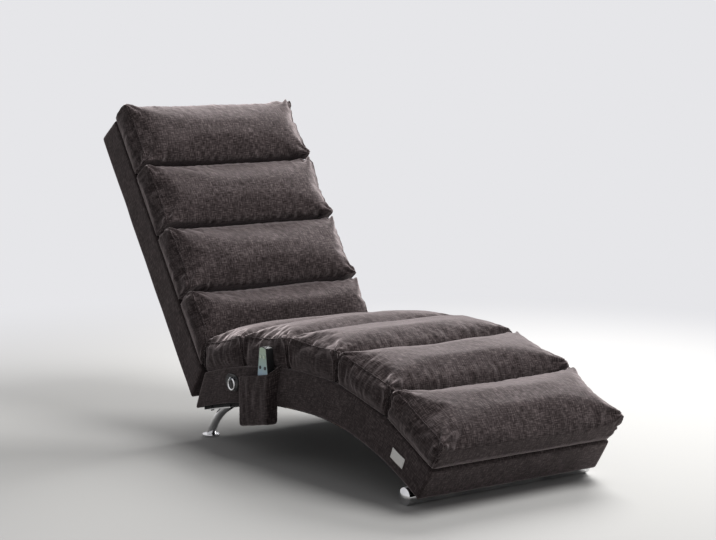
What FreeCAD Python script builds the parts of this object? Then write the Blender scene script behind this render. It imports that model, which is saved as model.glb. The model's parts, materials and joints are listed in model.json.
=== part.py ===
import FreeCAD, Part
import math
import os

V = FreeCAD.Vector

# All sizes are millimetres. X runs from the head end to the foot end, Z is up, the floor is Z = 0.
# The model is drawn with X = 0 at the highest point of the curved seat base and Y = 0 on its middle plane.

# Upholstered seat base
BODY_WIDTH = 550.0
COVER = 4.0
SEAT_THICK = 100.5
TOP_REAR_RADIUS = 1750.0
TOP_FRONT_RADIUS = 900.0
UNDER_REAR_RADIUS = 1950.0
UNDER_FRONT_RADIUS = 850.0
REAR_REACH = 487.0
FRONT_REACH = 499.0
REAR_LEAN = 25.6
FRONT_LEAN = 34.0
DUST_SHEET = 1.5
SKIN_GAP = 0.2

# Seat frame inside the cover
BOARD = 19.0
STRAP_THICK = 2.0
STRAP_WIDE = 60.0
RAIL_THICK = 20.0
SEAT_RAILS = 5
REAR_RAIL_IN = 25.0
LAST_RAIL_BEHIND_FOOT = 224.0
FRONT_RAIL_THICK = 26.0
SEAT_STRAPS = 6
REAR_STRAP_IN = 67.0
FRONT_STRAP_IN = 119.0

# Recline hinge and its plates
HINGE_DROP = 67.0
HINGE_GAP = 23.0
PLATE = 5.0
LOCK_DISC = 2.0
KNUCKLE_RADIUS = 10.0
SHAFT_RADIUS = 5.0
RUNNING_FIT = 0.05
PLATE_ARM = 150.0
PLATE_WIDE = 24.0
ARM_SLOPE = 15.0
BOLT_RADIUS = 3.0
BOLT_HEAD_RADIUS = 6.0
BOLT_HEAD = 4.0
BOLT_LONG = 14.0
BOLT_PITCH = 45.0
BOLT_START = 50.0
PLATE_BOLTS = 3

# Reclining back
RECLINE_REST = 35.4
BACK_LENGTH = 827.0
BACK_DEPTH = 98.0
BACK_BEHIND_AXIS = 41.0
BACK_END_GAP = 11.5
BACK_END_SLOPE = 21.2
REAR_SHEET = 2.5
BACK_RAILS = 4
BACK_RAIL_LOW = 108.0
BACK_RAIL_TOP_IN = 37.0
BACK_STRAPS = 4
BACK_STRAP_LOW = 150.0
BACK_STRAP_TOP_IN = 137.0
HEATER_WIDE = 320.0
HEATER_TALL = 170.0
HEATER_THICK = 3.0
HEATER_LOW = 132.0

# Bolsters: heights above the base at the middle and at the end faces, stations as shares of the half width
SEAT_BOLSTERS = 5
BACK_BOLSTERS = 4
BACK_BOLSTER_TOP = 15.0
BACK_BOLSTER_FOOT = 8.0
BOLSTER_CROWN = 104.0
BOLSTER_END = 66.0
BOLSTER_STATIONS = (-1.0, -0.92, -0.75, -0.5, -0.25, 0.0, 0.25, 0.5, 0.75, 0.92, 1.0)
SIDE_SHARE = 0.42
SHOULDER_SHARE = 0.82
BOLSTER_REST = 0.6
GROOVE_GAP = 0.8
BASE_DRAW = 3.0
SHOULDER = 15.0
END_DRAW = 5.0
DIVIDE_LEAN = 4.5
DIVIDE_GAP = 0.6

# Front foot tube
FOOT_RADIUS = 21.0
FOOT_WALL = 2.0
FOOT_X = 402.0
FOOT_GAP = 0.9
FOOT_OVERHANG = 3.0
CAP_DOME = 7.0
CAP_PLUG = 18.0
FOOT_BOLT_IN = 85.0
FOOT_BOLT_RADIUS = 4.0
FOOT_BOLT_HEAD_RADIUS = 6.5
FOOT_BOLT_HEAD = 6.0
FOOT_BOLT_REACH = 34.0
WRENCH_HOLE_RADIUS = 9.0

# Rear legs
LEG_RADIUS = 11.0
LEG_WALL = 2.0
LEG_BEHIND = 9.0
LEG_IN = 25.0
LEG_LEAN = 27.0
LEG_TURN = 62.0
LEG_WELD = 1.5
LEG_PLATE_THICK = 3.0
LEG_PLATE_WIDE = 46.0
LEG_PLATE_LONG = 110.0
GLIDE_RADIUS = 23.0
GLIDE_HIGH = 8.0
GLIDE_SPIGOT = 6.0
GLIDE_ROUND = 2.0
SPIGOT_CLEAR = 0.5
LEG_BOARD = 8.0
LEG_BOARD_PAST = 34.0
LEG_BOARD_INSET = 10.0
SCREW_RADIUS = 2.5
SCREW_HEAD_RADIUS = 4.5
SCREW_HEAD = 2.5
LEG_SCREW_SPREAD = 16.0
LEG_SCREW_IN = 9.0
BOARD_SCREW_IN = 24.0
BOARD_SCREW_LONG = 30.0

# Release pull on the right side
PULL_FROM_REAR = 152.0
PULL_DROP = 30.8
RING_RADIUS = 14.5
RING_WIRE = 2.5
EYE_THICK = 4.0
EYE_CLEAR = 0.4
EYE_WALL = 3.0
ROD_RADIUS = 4.0
ROD_LONG = 84.0
ROD_CLEAR = 0.1
BEZEL_WIDE = 62.0
BEZEL_TALL = 44.0
BEZEL_THICK = 3.0
BEZEL_REARWARD = 7.75
BEZEL_DROP = 11.0
FERRULE_RADIUS = 6.5
FERRULE_DEPTH = 100.0
SHEATH_RADIUS = 3.5
SHEATH_BEND = 42.0
CABLE_SLOPE = 11.0
LEVER_LONG = 30.0
LEVER_WIDE = 7.0
LEVER_THICK = 5.0
LEVER_REST_TURN = 8.0
CLIP_THICK = 3.0
CLIP_RADIUS = 8.0

# Side pocket and the blank sewn tag
POCKET_FROM_REAR = 286.5
POCKET_TOP_WIDE = 136.0
POCKET_LOW_WIDE = 133.0
POCKET_TALL = 125.5
POCKET_DROP = 21.7
POCKET_SLOPE = 11.0
POCKET_DEPTH = 28.0
POCKET_WALL = 2.5
POCKET_STANDOFF = 0.3
TAG_FROM_FRONT = 127.0
TAG_LONG = 50.0
TAG_TALL = 27.0
TAG_THICK = 0.8
TAG_DROP = 62.0

# Handset
HANDSET_ASIDE = 39.0
HANDSET_WIDE = 49.0
HANDSET_NOSE = 32.0
HANDSET_LONG = 190.0
HANDSET_SHOULDER = 118.0
HANDSET_NOSE_RISE = 3.0
HANDSET_THICK = 20.0
HANDSET_WALL = 2.0
HANDSET_FLOOR_GAP = 0.5
HANDSET_Y_GAP = 1.5
FACE_THICK = 1.6
HANDSET_PCB = 1.6
HANDSET_PCB_DEPTH = 5.2
BUTTON_RADIUS = 4.0
BUTTON_FIT = 0.25
BUTTON_COLLAR = 0.75
BUTTON_PROUD = 1.4
BUTTON_BACK = 1.8
LOW_BUTTONS = 136.0
LOW_BUTTONS_ASIDE = 11.0
HIGH_BUTTONS = 164.0
HIGH_BUTTONS_ASIDE = 8.0

# Vibration motors
MOTOR_SHELL_RADIUS = 29.0
MOTOR_SHELL_LONG = 46.0
MOTOR_WALL = 2.0
CAN_RADIUS = 13.0
CAN_LONG = 24.0
MOTOR_SHAFT_RADIUS = 1.5
MOTOR_SHAFT_SEAT = 12.0
WEIGHT_RADIUS = 18.0
WEIGHT_LONG = 10.0
WEIGHT_HUB = 4.0
WEIGHT_SPACE = 2.0

# Control box and power inlet
BOX_Y = 60.0
BOX_DEEP = 36.0
BOX_WIDE = 110.0
BOX_TALL = 62.0
BOX_WALL = 2.0
BOX_LID = 2.5
BOARD_PCB = 1.6
PCB_STANDOFF = 6.0
INLET_RADIUS = 8.0
INLET_FLANGE = 11.0
INLET_FLANGE_THICK = 1.1
INLET_BORE = 2.8
INLET_DEPTH = 12.0
INLET_PROUD = 2.0
INLET_CLEAR = 0.3

FOOT_REACH = UNDER_FRONT_RADIUS - FOOT_RADIUS - FOOT_GAP
APEX_UNDER = UNDER_FRONT_RADIUS + FOOT_RADIUS - math.sqrt(FOOT_REACH ** 2 - FOOT_X ** 2)
APEX_TOP = APEX_UNDER + SEAT_THICK
LEG_X = -REAR_REACH - LEG_BEHIND
PULL_X = PULL_FROM_REAR - REAR_REACH
POCKET_X = POCKET_FROM_REAR - REAR_REACH
HANDSET_X = POCKET_X + HANDSET_ASIDE
TAG_X = FRONT_REACH - TAG_FROM_FRONT
HALF = BODY_WIDTH / 2
FOOT_HALF = HALF + FOOT_OVERHANG
FOOT_BOLT_Y = HALF - FOOT_BOLT_IN
LEG_Y = HALF - LEG_IN
INNER = HALF - COVER
BOARD_FACE = INNER - BOARD
DISC_FACE = BOARD_FACE - PLATE
BACK_PLATE_FACE = DISC_FACE - LOCK_DISC
BACK_PLATE_INNER = BACK_PLATE_FACE - PLATE
FRAME_TOP = COVER + STRAP_THICK + 2 * SKIN_GAP
FRAME_LOW = DUST_SHEET + SKIN_GAP
CUT_REACH = 50.0
MEET_STEPS = 80
SIDES = (-1, 1)
X_AXIS = V(1, 0, 0)
Y_AXIS = V(0, 1, 0)
Z_AXIS = V(0, 0, 1)

nodes = {}


def point(x, z, y=0.0):
    return V(x, y, z)


def sine(degrees):
    return math.sin(math.radians(degrees))


def cosine(degrees):
    return math.cos(math.radians(degrees))


def tangent(degrees):
    return math.tan(math.radians(degrees))


def line(a, b):
    return Part.LineSegment(a, b).toShape()


def arc(a, b, c):
    return Part.Arc(a, b, c).toShape()


def prism(edges, y0, y1):
    """Side-view outline pushed across the width."""
    face = Part.Face(Part.Wire(edges))
    face.translate(V(0, y0, 0))
    return face.extrude(V(0, y1 - y0, 0))


def plate(corners, y0, y1):
    """Straight-edged side-view outline, corners as (x, z)."""
    places = [point(x, z) for x, z in corners]
    return prism([line(a, b) for a, b in zip(places, places[1:] + places[:1])], y0, y1)


def box(x0, x1, y0, y1, z0, z1):
    return Part.makeBox(x1 - x0, y1 - y0, z1 - z0, V(x0, y0, z0))


def rod(radius, start, end):
    along = end - start
    return Part.makeCylinder(radius, along.Length, start, along)


def tube(radius, bore, start, end):
    return rod(radius, start, end).cut(rod(bore, start, end))


def span(side, near, far):
    """Y range from near to far out from the middle plane, on the left (1) or the right (-1)."""
    return sorted((side * near, side * far))


def group(solids):
    return Part.makeCompound(solids)


def spread(first, last, count):
    """Evenly spaced places from first to last."""
    return [first + (last - first) * index / (count - 1) for index in range(count)]


# Curves of the seat base


def top_z(x, inset=0.0):
    radius = (TOP_REAR_RADIUS if x < 0 else TOP_FRONT_RADIUS) - inset
    return APEX_TOP - inset - radius + math.sqrt(radius * radius - x * x)


def under_z(x, inset=0.0):
    radius = (UNDER_REAR_RADIUS if x < 0 else UNDER_FRONT_RADIUS) + inset
    return APEX_UNDER + inset - radius + math.sqrt(radius * radius - x * x)


def curve_edges(height, inset, x0, x1):
    """Arcs along a seat curve, parted at the highest point where the radius changes."""
    stops = [x0, 0.0, x1] if min(x0, x1) < 0 < max(x0, x1) else [x0, x1]
    edges = []
    for a, b in zip(stops, stops[1:]):
        places = [point(x, height(x, inset)) for x in (a, (a + b) / 2, b)]
        edges.append(arc(*places))
    return edges


def meet(height, inset, base, lean):
    """X where a line through base, leaning forward by lean degrees, crosses a seat curve."""
    x = base.x
    for _ in range(MEET_STEPS):
        x = base.x + (height(x, inset) - base.z) * tangent(lean)
    return x


def band(high, low, ends_high, ends_low, y0, y1):
    """Solid between two seat curves, each given as (function, inset)."""
    a, b = ends_high
    c, d = ends_low
    edges = curve_edges(*high, a, b)
    edges.append(line(point(b, high[0](b, high[1])), point(d, low[0](d, low[1]))))
    edges += curve_edges(*low, d, c)
    edges.append(line(point(c, low[0](c, low[1])), point(a, high[0](a, high[1]))))
    return prism(edges, y0, y1)


def seat_block(top_in, under_in, rear_in, front_in, y0, y1):
    """The seat base's side view drawn in by the given amounts."""
    rear = point(-REAR_REACH + rear_in / cosine(REAR_LEAN), top_z(-REAR_REACH))
    front = point(FRONT_REACH - front_in / cosine(FRONT_LEAN), top_z(FRONT_REACH))
    ends = []
    for height, inset in ((top_z, top_in), (under_z, under_in)):
        ends.append((meet(height, inset, rear, REAR_LEAN), meet(height, inset, front, FRONT_LEAN)))
    return band((top_z, top_in), (under_z, under_in), *ends, y0, y1)


def upright(x0, x1, top_in, under_in, y0, y1):
    """A stretch of the base with vertical ends, such as a rail."""
    return band((top_z, top_in), (under_z, under_in), (x0, x1), (x0, x1), y0, y1)


def seat_rails():
    """Rear faces of the cross rails behind the foot."""
    return spread(REAR_RAIL_IN - REAR_REACH, FOOT_X - LAST_RAIL_BEHIND_FOOT, SEAT_RAILS)


def strip_below(x0, x1, near, far, y0, y1):
    """A sheet that follows the underside, from near to far below it."""
    return band((under_z, -near), (under_z, -far), (x0, x1), (x0, x1), y0, y1)


# The recline axis and the back's own frame

REAR_CORNER = point(-REAR_REACH, top_z(-REAR_REACH))
REAR_UP = point(sine(REAR_LEAN), cosine(REAR_LEAN))
REAR_OUT = point(-cosine(REAR_LEAN), sine(REAR_LEAN))
AXIS = REAR_CORNER - REAR_UP * HINGE_DROP + REAR_OUT * (HINGE_GAP / 2)
BACK_FRONT = BACK_DEPTH - BACK_BEHIND_AXIS
BACK_REAR = -BACK_BEHIND_AXIS


def place_back(shape):
    """From the upright back, X out of its front and Z up its length, to its place on the seat."""
    shape.rotate(V(0, 0, 0), Y_AXIS, -RECLINE_REST)
    shape.translate(AXIS)
    return shape


def back_end(n, inset=0.0):
    """Height of the back's slanting lower end at n out from the axis."""
    return BACK_END_GAP + inset / cosine(BACK_END_SLOPE) + n * tangent(BACK_END_SLOPE)


def back_block(rear, front, end_in, top, y0, y1):
    corners = [(rear, back_end(rear, end_in)), (front, back_end(front, end_in)), (front, top), (rear, top)]
    return plate(corners, y0, y1)


# Bolsters


def bolster(low, high, low_turn, high_turn, arched):
    """A crowned cushion along local X, standing on local Z = 0.

    low and high are the (x, z) feet of its two groove planes, and the turns lean those planes outward.
    arched says that what it rests on curves between the two feet."""
    stations = []
    for share in BOLSTER_STATIONS:
        fullness = math.sqrt(1 - share ** 4)
        crown = BOLSTER_END + (BOLSTER_CROWN - BOLSTER_END) * fullness
        stations.append((share * HALF, crown, END_DRAW * (1 - fullness)))

    def on_plane(foot, turn, sign, high_up, inward, y):
        x = foot[0] + sign * (high_up * math.sin(turn) - inward)
        return V(x, y, foot[1] + high_up * math.cos(turn) + inward * math.tan(turn))

    sections = []
    for y, crown, draw in stations:
        corners = []
        for foot, turn, sign in ((low, low_turn, -1), (high, high_turn, 1)):
            base = on_plane(foot, turn, sign, BOLSTER_REST, GROOVE_GAP + BASE_DRAW + 2 * draw, y)
            side = on_plane(foot, turn, sign, SIDE_SHARE * crown, 2 * GROOVE_GAP + draw, y)
            shoulder = on_plane(foot, turn, sign, SHOULDER_SHARE * crown, GROOVE_GAP + draw + SHOULDER, y)
            corners.append((base, side, shoulder))
        (low_base, low_side, low_shoulder), (high_base, high_side, high_shoulder) = corners
        top = V((low_shoulder.x + high_shoulder.x) / 2, y, crown)
        under = arc(low_base, V(0, y, BOLSTER_REST), high_base) if arched else line(low_base, high_base)
        sections.append(
            Part.Wire(
                [
                    under,
                    arc(high_base, high_side, high_shoulder),
                    arc(high_shoulder, top, low_shoulder),
                    arc(low_shoulder, low_side, low_base),
                ]
            )
        )
    return Part.makeLoft(sections, True)


def seat_turn(length):
    """Slope angle of the seat top at a length along it from the apex, forward positive."""
    return length / (TOP_REAR_RADIUS if length < 0 else TOP_FRONT_RADIUS)


def seat_foot(length):
    turn = seat_turn(length)
    radius = TOP_REAR_RADIUS if length < 0 else TOP_FRONT_RADIUS
    return V(radius * math.sin(turn), 0, APEX_TOP - radius + radius * math.cos(turn))


def divide_block(gap):
    """All that lies in front of the leaning plane between the seat's last bolster and the back's."""
    block = box(0, BACK_LENGTH, -BODY_WIDTH, BODY_WIDTH, -BACK_LENGTH, BACK_LENGTH)
    block.rotate(V(0, 0, 0), Y_AXIS, DIVIDE_LEAN)
    block.translate(REAR_CORNER + X_AXIS * gap)
    return block


def make_seat_bolsters():
    rear = -TOP_REAR_RADIUS * math.asin(REAR_REACH / TOP_REAR_RADIUS)
    front = TOP_FRONT_RADIUS * math.asin(FRONT_REACH / TOP_FRONT_RADIUS)
    pitch = (front - rear) / SEAT_BOLSTERS
    for index in range(SEAT_BOLSTERS):
        start = rear + index * pitch
        middle = start + pitch / 2
        turn = seat_turn(middle)
        home = seat_foot(middle)
        feet = []
        turns = []
        for length in (start, start + pitch):
            away = seat_foot(length) - home
            x = away.x * math.cos(turn) - away.z * math.sin(turn)
            z = away.x * math.sin(turn) + away.z * math.cos(turn)
            feet.append((x, z))
            turns.append(abs(seat_turn(length) - turn))
        shape = bolster(feet[0], feet[1], turns[0], turns[1], True)
        shape.rotate(V(0, 0, 0), Y_AXIS, math.degrees(turn))
        shape.translate(home)
        if index == 0:
            shape = shape.common(divide_block(DIVIDE_GAP / 2))
        nodes["seat_bolster_%d" % (index + 1)] = shape


def make_back_bolsters():
    top = BACK_LENGTH + BACK_BOLSTER_TOP
    foot = back_end(BACK_FRONT) + BACK_BOLSTER_FOOT
    pitch = (top - foot) / BACK_BOLSTERS
    for index in range(BACK_BOLSTERS):
        middle = top - (index + 0.5) * pitch
        shape = bolster((-pitch / 2, 0.0), (pitch / 2, 0.0), 0.0, 0.0, False)
        shape.rotate(V(0, 0, 0), Y_AXIS, 90)
        shape.translate(V(BACK_FRONT, 0, middle))
        place_back(shape)
        if index == BACK_BOLSTERS - 1:
            shape = shape.cut(divide_block(-DIVIDE_GAP / 2))
        nodes["back_bolster_%d" % (index + 1)] = shape


# Seat base


def make_seat_cover():
    shell = seat_block(0, 0, 0, 0, -HALF, HALF)
    shell = shell.cut(seat_block(COVER, -COVER, COVER, COVER, -INNER, INNER))
    for side in SIDES:
        y0, y1 = span(side, DISC_FACE - SKIN_GAP, BOARD_FACE)
        shell = shell.cut(plate_arm_cut(y0, y1))
    shell = shell.cut(pull_hole(FERRULE_RADIUS + SKIN_GAP))
    shell = shell.cut(sheath_hole(SHEATH_RADIUS + SKIN_GAP))
    nodes["seat_cover"] = shell


def box_rail():
    """The control box is fixed to the rear of the middle rail."""
    return seat_rails()[SEAT_RAILS // 2]


def inlet_place():
    x = box_rail() - BOX_DEEP / 2
    return V(x, BOX_Y, under_z(x))


def foot_bolt_places():
    return [V(FOOT_X, side * FOOT_BOLT_Y, FOOT_RADIUS) for side in SIDES]


def make_dust_cover():
    sheet = seat_block(0, 0, COVER + SKIN_GAP, COVER + SKIN_GAP, -INNER + SKIN_GAP, INNER - SKIN_GAP)
    sheet = sheet.cut(seat_block(-COVER, DUST_SHEET, -COVER, -COVER, -HALF, HALF))
    hole = inlet_place()
    reach = Z_AXIS * CUT_REACH
    sheet = sheet.cut(rod(INLET_RADIUS + INLET_CLEAR, hole - reach, hole + reach))
    for place in foot_bolt_places():
        sheet = sheet.cut(rod(FOOT_BOLT_RADIUS + INLET_CLEAR, place, place + Z_AXIS * 2 * CUT_REACH))
    nodes["seat_dust_cover"] = sheet.cut(board_screw_holes())


def make_seat_frame():
    boards = []
    end_in = COVER + SKIN_GAP
    for side in SIDES:
        y0, y1 = span(side, BOARD_FACE, INNER)
        board = seat_block(FRAME_TOP, FRAME_LOW, end_in, end_in, y0, y1)
        if side < 0:
            board = board.cut(pull_hole(FERRULE_RADIUS + SKIN_GAP))
        boards.append(board.cut(board_screw_holes()).cut(group(plate_bolts(side))))
    nodes["seat_side_boards"] = group(boards)

    rails = []
    bolt_room = group([room for side in SIDES for room in plate_bolts(side, SKIN_GAP)])
    for index, x in enumerate(seat_rails()):
        half = DISC_FACE if index == 0 else BOARD_FACE
        rail = upright(x, x + RAIL_THICK, FRAME_TOP, FRAME_LOW, -half, half).cut(bolt_room)
        if index == 0:
            rail = rail.cut(sheath_hole(SHEATH_RADIUS + SKIN_GAP))
        rails.append(rail)
    front = FOOT_X - FRONT_RAIL_THICK / 2
    rail = upright(front, front + FRONT_RAIL_THICK, FRAME_TOP, FRAME_LOW, -BOARD_FACE, BOARD_FACE)
    for place in foot_bolt_places():
        rail = rail.cut(rod(FOOT_BOLT_RADIUS, place, place + Z_AXIS * foot_bolt_top()))
    rails.append(rail)
    nodes["seat_cross_rails"] = group(rails)

    straps = []
    for x in spread(REAR_STRAP_IN - REAR_REACH, FRONT_REACH - FRONT_STRAP_IN, SEAT_STRAPS):
        lowest = COVER + SKIN_GAP + STRAP_THICK
        high = (top_z, COVER + SKIN_GAP)
        ends = (x - STRAP_WIDE / 2, x + STRAP_WIDE / 2)
        straps.append(band(high, (top_z, lowest), ends, ends, -INNER + SKIN_GAP, INNER - SKIN_GAP))
    nodes["seat_webbing"] = group(straps)


# Feet


def foot_bolt_top():
    return under_z(FOOT_X) + FOOT_BOLT_REACH - FOOT_RADIUS


def make_front_foot():
    ends = [V(FOOT_X, side * FOOT_HALF, FOOT_RADIUS) for side in SIDES]
    foot = tube(FOOT_RADIUS, FOOT_RADIUS - FOOT_WALL, *ends)
    bolts = []
    seat = math.sqrt((FOOT_RADIUS - FOOT_WALL) ** 2 - FOOT_BOLT_HEAD_RADIUS ** 2) - SKIN_GAP
    for place in foot_bolt_places():
        foot = foot.cut(rod(FOOT_BOLT_RADIUS + SKIN_GAP, place, place + Z_AXIS * CUT_REACH))
        foot = foot.cut(rod(WRENCH_HOLE_RADIUS, place, place - Z_AXIS * CUT_REACH))
        low = place + Z_AXIS * (seat - FOOT_BOLT_HEAD)
        head = rod(FOOT_BOLT_HEAD_RADIUS, low, place + Z_AXIS * seat)
        shank = rod(FOOT_BOLT_RADIUS, low, place + Z_AXIS * foot_bolt_top())
        bolts.append(head.fuse(shank).removeSplitter())
    nodes["front_foot"] = foot
    nodes["front_foot_bolts"] = group(bolts)

    caps = []
    sphere = (FOOT_RADIUS ** 2 + CAP_DOME ** 2) / (2 * CAP_DOME)
    for side, end in zip(SIDES, ends):
        out = Y_AXIS * side
        dome = Part.makeSphere(sphere, end + out * (CAP_DOME - sphere))
        dome = dome.common(rod(FOOT_RADIUS, end, end + out * (CAP_DOME + FOOT_WALL)))
        plug = rod(FOOT_RADIUS - FOOT_WALL - RUNNING_FIT, end - out * CAP_PLUG, end)
        caps.append(dome.fuse(plug).removeSplitter())
    nodes["front_foot_caps"] = group(caps)


def leg_bend():
    """Start, middle and end of the leg's bend, which is as large as it takes to end at the leg's plate."""
    radius = 0.0
    for _ in range(MEET_STEPS):
        x = LEG_X + radius * (cosine(LEG_LEAN) - cosine(LEG_TURN))
        rise = under_z(x, -LEG_BOARD - SKIN_GAP - LEG_PLATE_THICK) - GLIDE_HIGH
        radius = rise / (sine(LEG_TURN) - sine(LEG_LEAN))
    middle = point(LEG_X, GLIDE_HIGH) + point(cosine(LEG_LEAN), -sine(LEG_LEAN)) * radius
    turns = (LEG_LEAN, (LEG_LEAN + LEG_TURN) / 2, LEG_TURN)
    return [middle + point(-cosine(turn), sine(turn)) * radius for turn in turns]


def leg_plate_span():
    middle = leg_bend()[2].x
    return middle - LEG_PLATE_LONG / 2, middle + LEG_PLATE_LONG / 2


def leg_board_span():
    start, end = leg_plate_span()
    return start - LEG_BOARD_PAST, end + LEG_BOARD_PAST


def sweep(radius, path, start, direction):
    ring = Part.Wire([Part.makeCircle(radius, start, direction)])
    return Part.Wire(path).makePipeShell([ring], True, False)


def under_square(x):
    """Direction square to the rear underside, up into the base."""
    return point(x, math.sqrt(UNDER_REAR_RADIUS ** 2 - x * x)) * (1 / UNDER_REAR_RADIUS)


def leg_screw_places():
    start, end = leg_plate_span()
    places = []
    for side in SIDES:
        for x in (start + LEG_SCREW_IN, end - LEG_SCREW_IN):
            for spread in (-LEG_SCREW_SPREAD, LEG_SCREW_SPREAD):
                z = under_z(x, -LEG_BOARD - SKIN_GAP - LEG_PLATE_THICK)
                places.append(V(x, side * LEG_Y + spread, z))
    return places


def board_screw_places():
    middle = (BOARD_FACE + INNER) / 2 - LEG_BOARD_INSET / 2
    start, end = leg_board_span()
    places = []
    for side in SIDES:
        for x in (start + BOARD_SCREW_IN, end - BOARD_SCREW_IN):
            places.append(V(x, side * middle, under_z(x, -LEG_BOARD)))
    return places


def screw_shank(place, length):
    up = under_square(place.x)
    return rod(SCREW_RADIUS, place - up * SCREW_HEAD, place + up * length)


def screw(place, length):
    up = under_square(place.x)
    head = rod(SCREW_HEAD_RADIUS, place - up * (SCREW_HEAD + SKIN_GAP), place - up * SKIN_GAP)
    return head.fuse(screw_shank(place, length)).removeSplitter()


def board_screw_holes():
    return group([screw_shank(place, BOARD_SCREW_LONG) for place in board_screw_places()])


def make_rear_legs():
    bend = leg_bend()
    foot_way = point(sine(LEG_LEAN), cosine(LEG_LEAN))
    top_way = point(sine(LEG_TURN), cosine(LEG_TURN))
    start = bend[0] - foot_way * LEG_RADIUS
    path = [line(start, bend[0]), arc(*bend), line(bend[2], bend[2] + top_way * LEG_PLATE_LONG)]
    far = LEG_BOARD + SKIN_GAP
    under = far + LEG_PLATE_THICK
    span_x = leg_plate_span()
    flange = strip_below(*span_x, far, under, -LEG_PLATE_WIDE / 2, LEG_PLATE_WIDE / 2)
    floor = box(
        LEG_X - CUT_REACH, LEG_X + CUT_REACH, -CUT_REACH, CUT_REACH, GLIDE_HIGH - CUT_REACH, GLIDE_HIGH
    )

    def trimmed(radius, into_plate):
        beyond = (span_x[0] - CUT_REACH, span_x[1] + LEG_PLATE_LONG)
        above = strip_below(*beyond, -CUT_REACH, under - into_plate, -CUT_REACH, CUT_REACH)
        return sweep(radius, path, start, foot_way).cut(above).cut(floor)

    outer = trimmed(LEG_RADIUS, LEG_WELD)
    bore = trimmed(LEG_RADIUS - LEG_WALL, 0.0)
    screws = leg_screw_places()
    deep = LEG_BOARD + LEG_PLATE_THICK
    holes = group([screw_shank(place, deep) for place in screws])
    welded = outer.fuse(flange).cut(bore)
    glides = []
    for side, name in zip(SIDES, ("right", "left")):
        shift = Y_AXIS * (side * LEG_Y)
        nodes["rear_leg_" + name] = welded.translated(shift).cut(holes)
        foot = point(LEG_X, 0.0) + shift
        disc = rod(GLIDE_RADIUS, foot, foot + Z_AXIS * GLIDE_HIGH)
        disc = disc.makeFillet(GLIDE_ROUND, [disc.Edges[0]])
        top = foot + Z_AXIS * GLIDE_HIGH
        root = top - foot_way * (GLIDE_HIGH / 2)
        spigot = rod(LEG_RADIUS - LEG_WALL - SPIGOT_CLEAR, root, top + foot_way * GLIDE_SPIGOT)
        glides.append(disc.fuse(spigot).removeSplitter())
    nodes["rear_leg_glides"] = group(glides)

    reach = HALF - LEG_BOARD_INSET
    board = strip_below(*leg_board_span(), SKIN_GAP, LEG_BOARD, -reach, reach)
    fixings = [screw(place, deep) for place in screws]
    fixings += [screw(place, BOARD_SCREW_LONG) for place in board_screw_places()]
    nodes["leg_screws"] = group(fixings)
    nodes["rear_leg_board"] = board.cut(holes).cut(board_screw_holes())


# Recline hinge


def arm_corners(length, half_start, half_end):
    """Tapered bar from the hinge axis forward into the seat base."""
    along = point(cosine(ARM_SLOPE), sine(ARM_SLOPE))
    across = point(-sine(ARM_SLOPE), cosine(ARM_SLOPE))
    places = [
        AXIS + across * half_start,
        AXIS + along * length + across * half_end,
        AXIS + along * length - across * half_end,
        AXIS - across * half_start,
    ]
    return [(place.x, place.z) for place in places]


def plate_arm_cut(y0, y1):
    """Room for a hinge plate through the rear wall of the seat cover."""
    half = PLATE_WIDE / 2 + SKIN_GAP
    return plate(arm_corners(PLATE_ARM, half, half), y0, y1)


def plate_bolts(side, clear=0.0):
    """Bolts that hold one seat plate to its side board."""
    bolts = []
    for index in range(PLATE_BOLTS):
        reach = BOLT_START + index * BOLT_PITCH
        place = AXIS + point(reach * cosine(ARM_SLOPE), reach * sine(ARM_SLOPE))
        inner = place + Y_AXIS * (side * DISC_FACE)
        bolts.append(bolt(inner, Y_AXIS * side, clear))
    return bolts


def bolt(place, out, clear):
    """Round-head bolt whose head sits on place and whose shank runs along out, with clear around it."""
    start = place - out * (BOLT_HEAD + clear)
    head = rod(BOLT_HEAD_RADIUS + clear, start, place + out * clear)
    shank = rod(BOLT_RADIUS + clear, start, place + out * (PLATE + BOLT_LONG))
    return head.fuse(shank).removeSplitter()


def make_seat_plates():
    plates = []
    bolts = []
    for side in SIDES:
        outline = arm_corners(PLATE_ARM, KNUCKLE_RADIUS, PLATE_WIDE / 2)
        shape = plate(outline, *span(side, DISC_FACE, BOARD_FACE))
        y0, y1 = span(side, BACK_PLATE_FACE + RUNNING_FIT, BOARD_FACE)
        shape = shape.fuse(rod(KNUCKLE_RADIUS, AXIS + Y_AXIS * y0, AXIS + Y_AXIS * y1)).removeSplitter()
        shape = shape.cut(rod(SHAFT_RADIUS + RUNNING_FIT, AXIS + Y_AXIS * y0, AXIS + Y_AXIS * y1))
        fixings = plate_bolts(side)
        plates.append(shape.cut(group(fixings)))
        bolts += fixings
    nodes["recliner_seat_plates"] = group(plates)
    nodes["seat_plate_bolts"] = group(bolts)


def back_plate_bolts(side, clear=0.0):
    bolts = []
    for index in range(PLATE_BOLTS):
        place = V(0, side * BACK_PLATE_INNER, BOLT_START + index * BOLT_PITCH)
        bolts.append(bolt(place, Y_AXIS * side, clear))
    return bolts


def make_back_plates():
    plates = []
    bolts = []
    for side in SIDES:
        y0, y1 = span(side, BACK_PLATE_INNER, BACK_PLATE_FACE)
        half = PLATE_WIDE / 2
        corners = [(-KNUCKLE_RADIUS, 0), (KNUCKLE_RADIUS, 0), (half, PLATE_ARM), (-half, PLATE_ARM)]
        shape = plate(corners, y0, y1)
        shape = shape.fuse(rod(KNUCKLE_RADIUS, V(0, y0, 0), V(0, y1, 0))).removeSplitter()
        shape = shape.cut(rod(SHAFT_RADIUS + RUNNING_FIT, V(0, y0, 0), V(0, y1, 0)))
        fixings = back_plate_bolts(side)
        plates.append(shape.cut(group(fixings)))
        bolts += fixings
    nodes["recliner_back_plates"] = place_back(group(plates))
    nodes["back_plate_bolts"] = place_back(group(bolts))


# Reclining back


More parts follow.
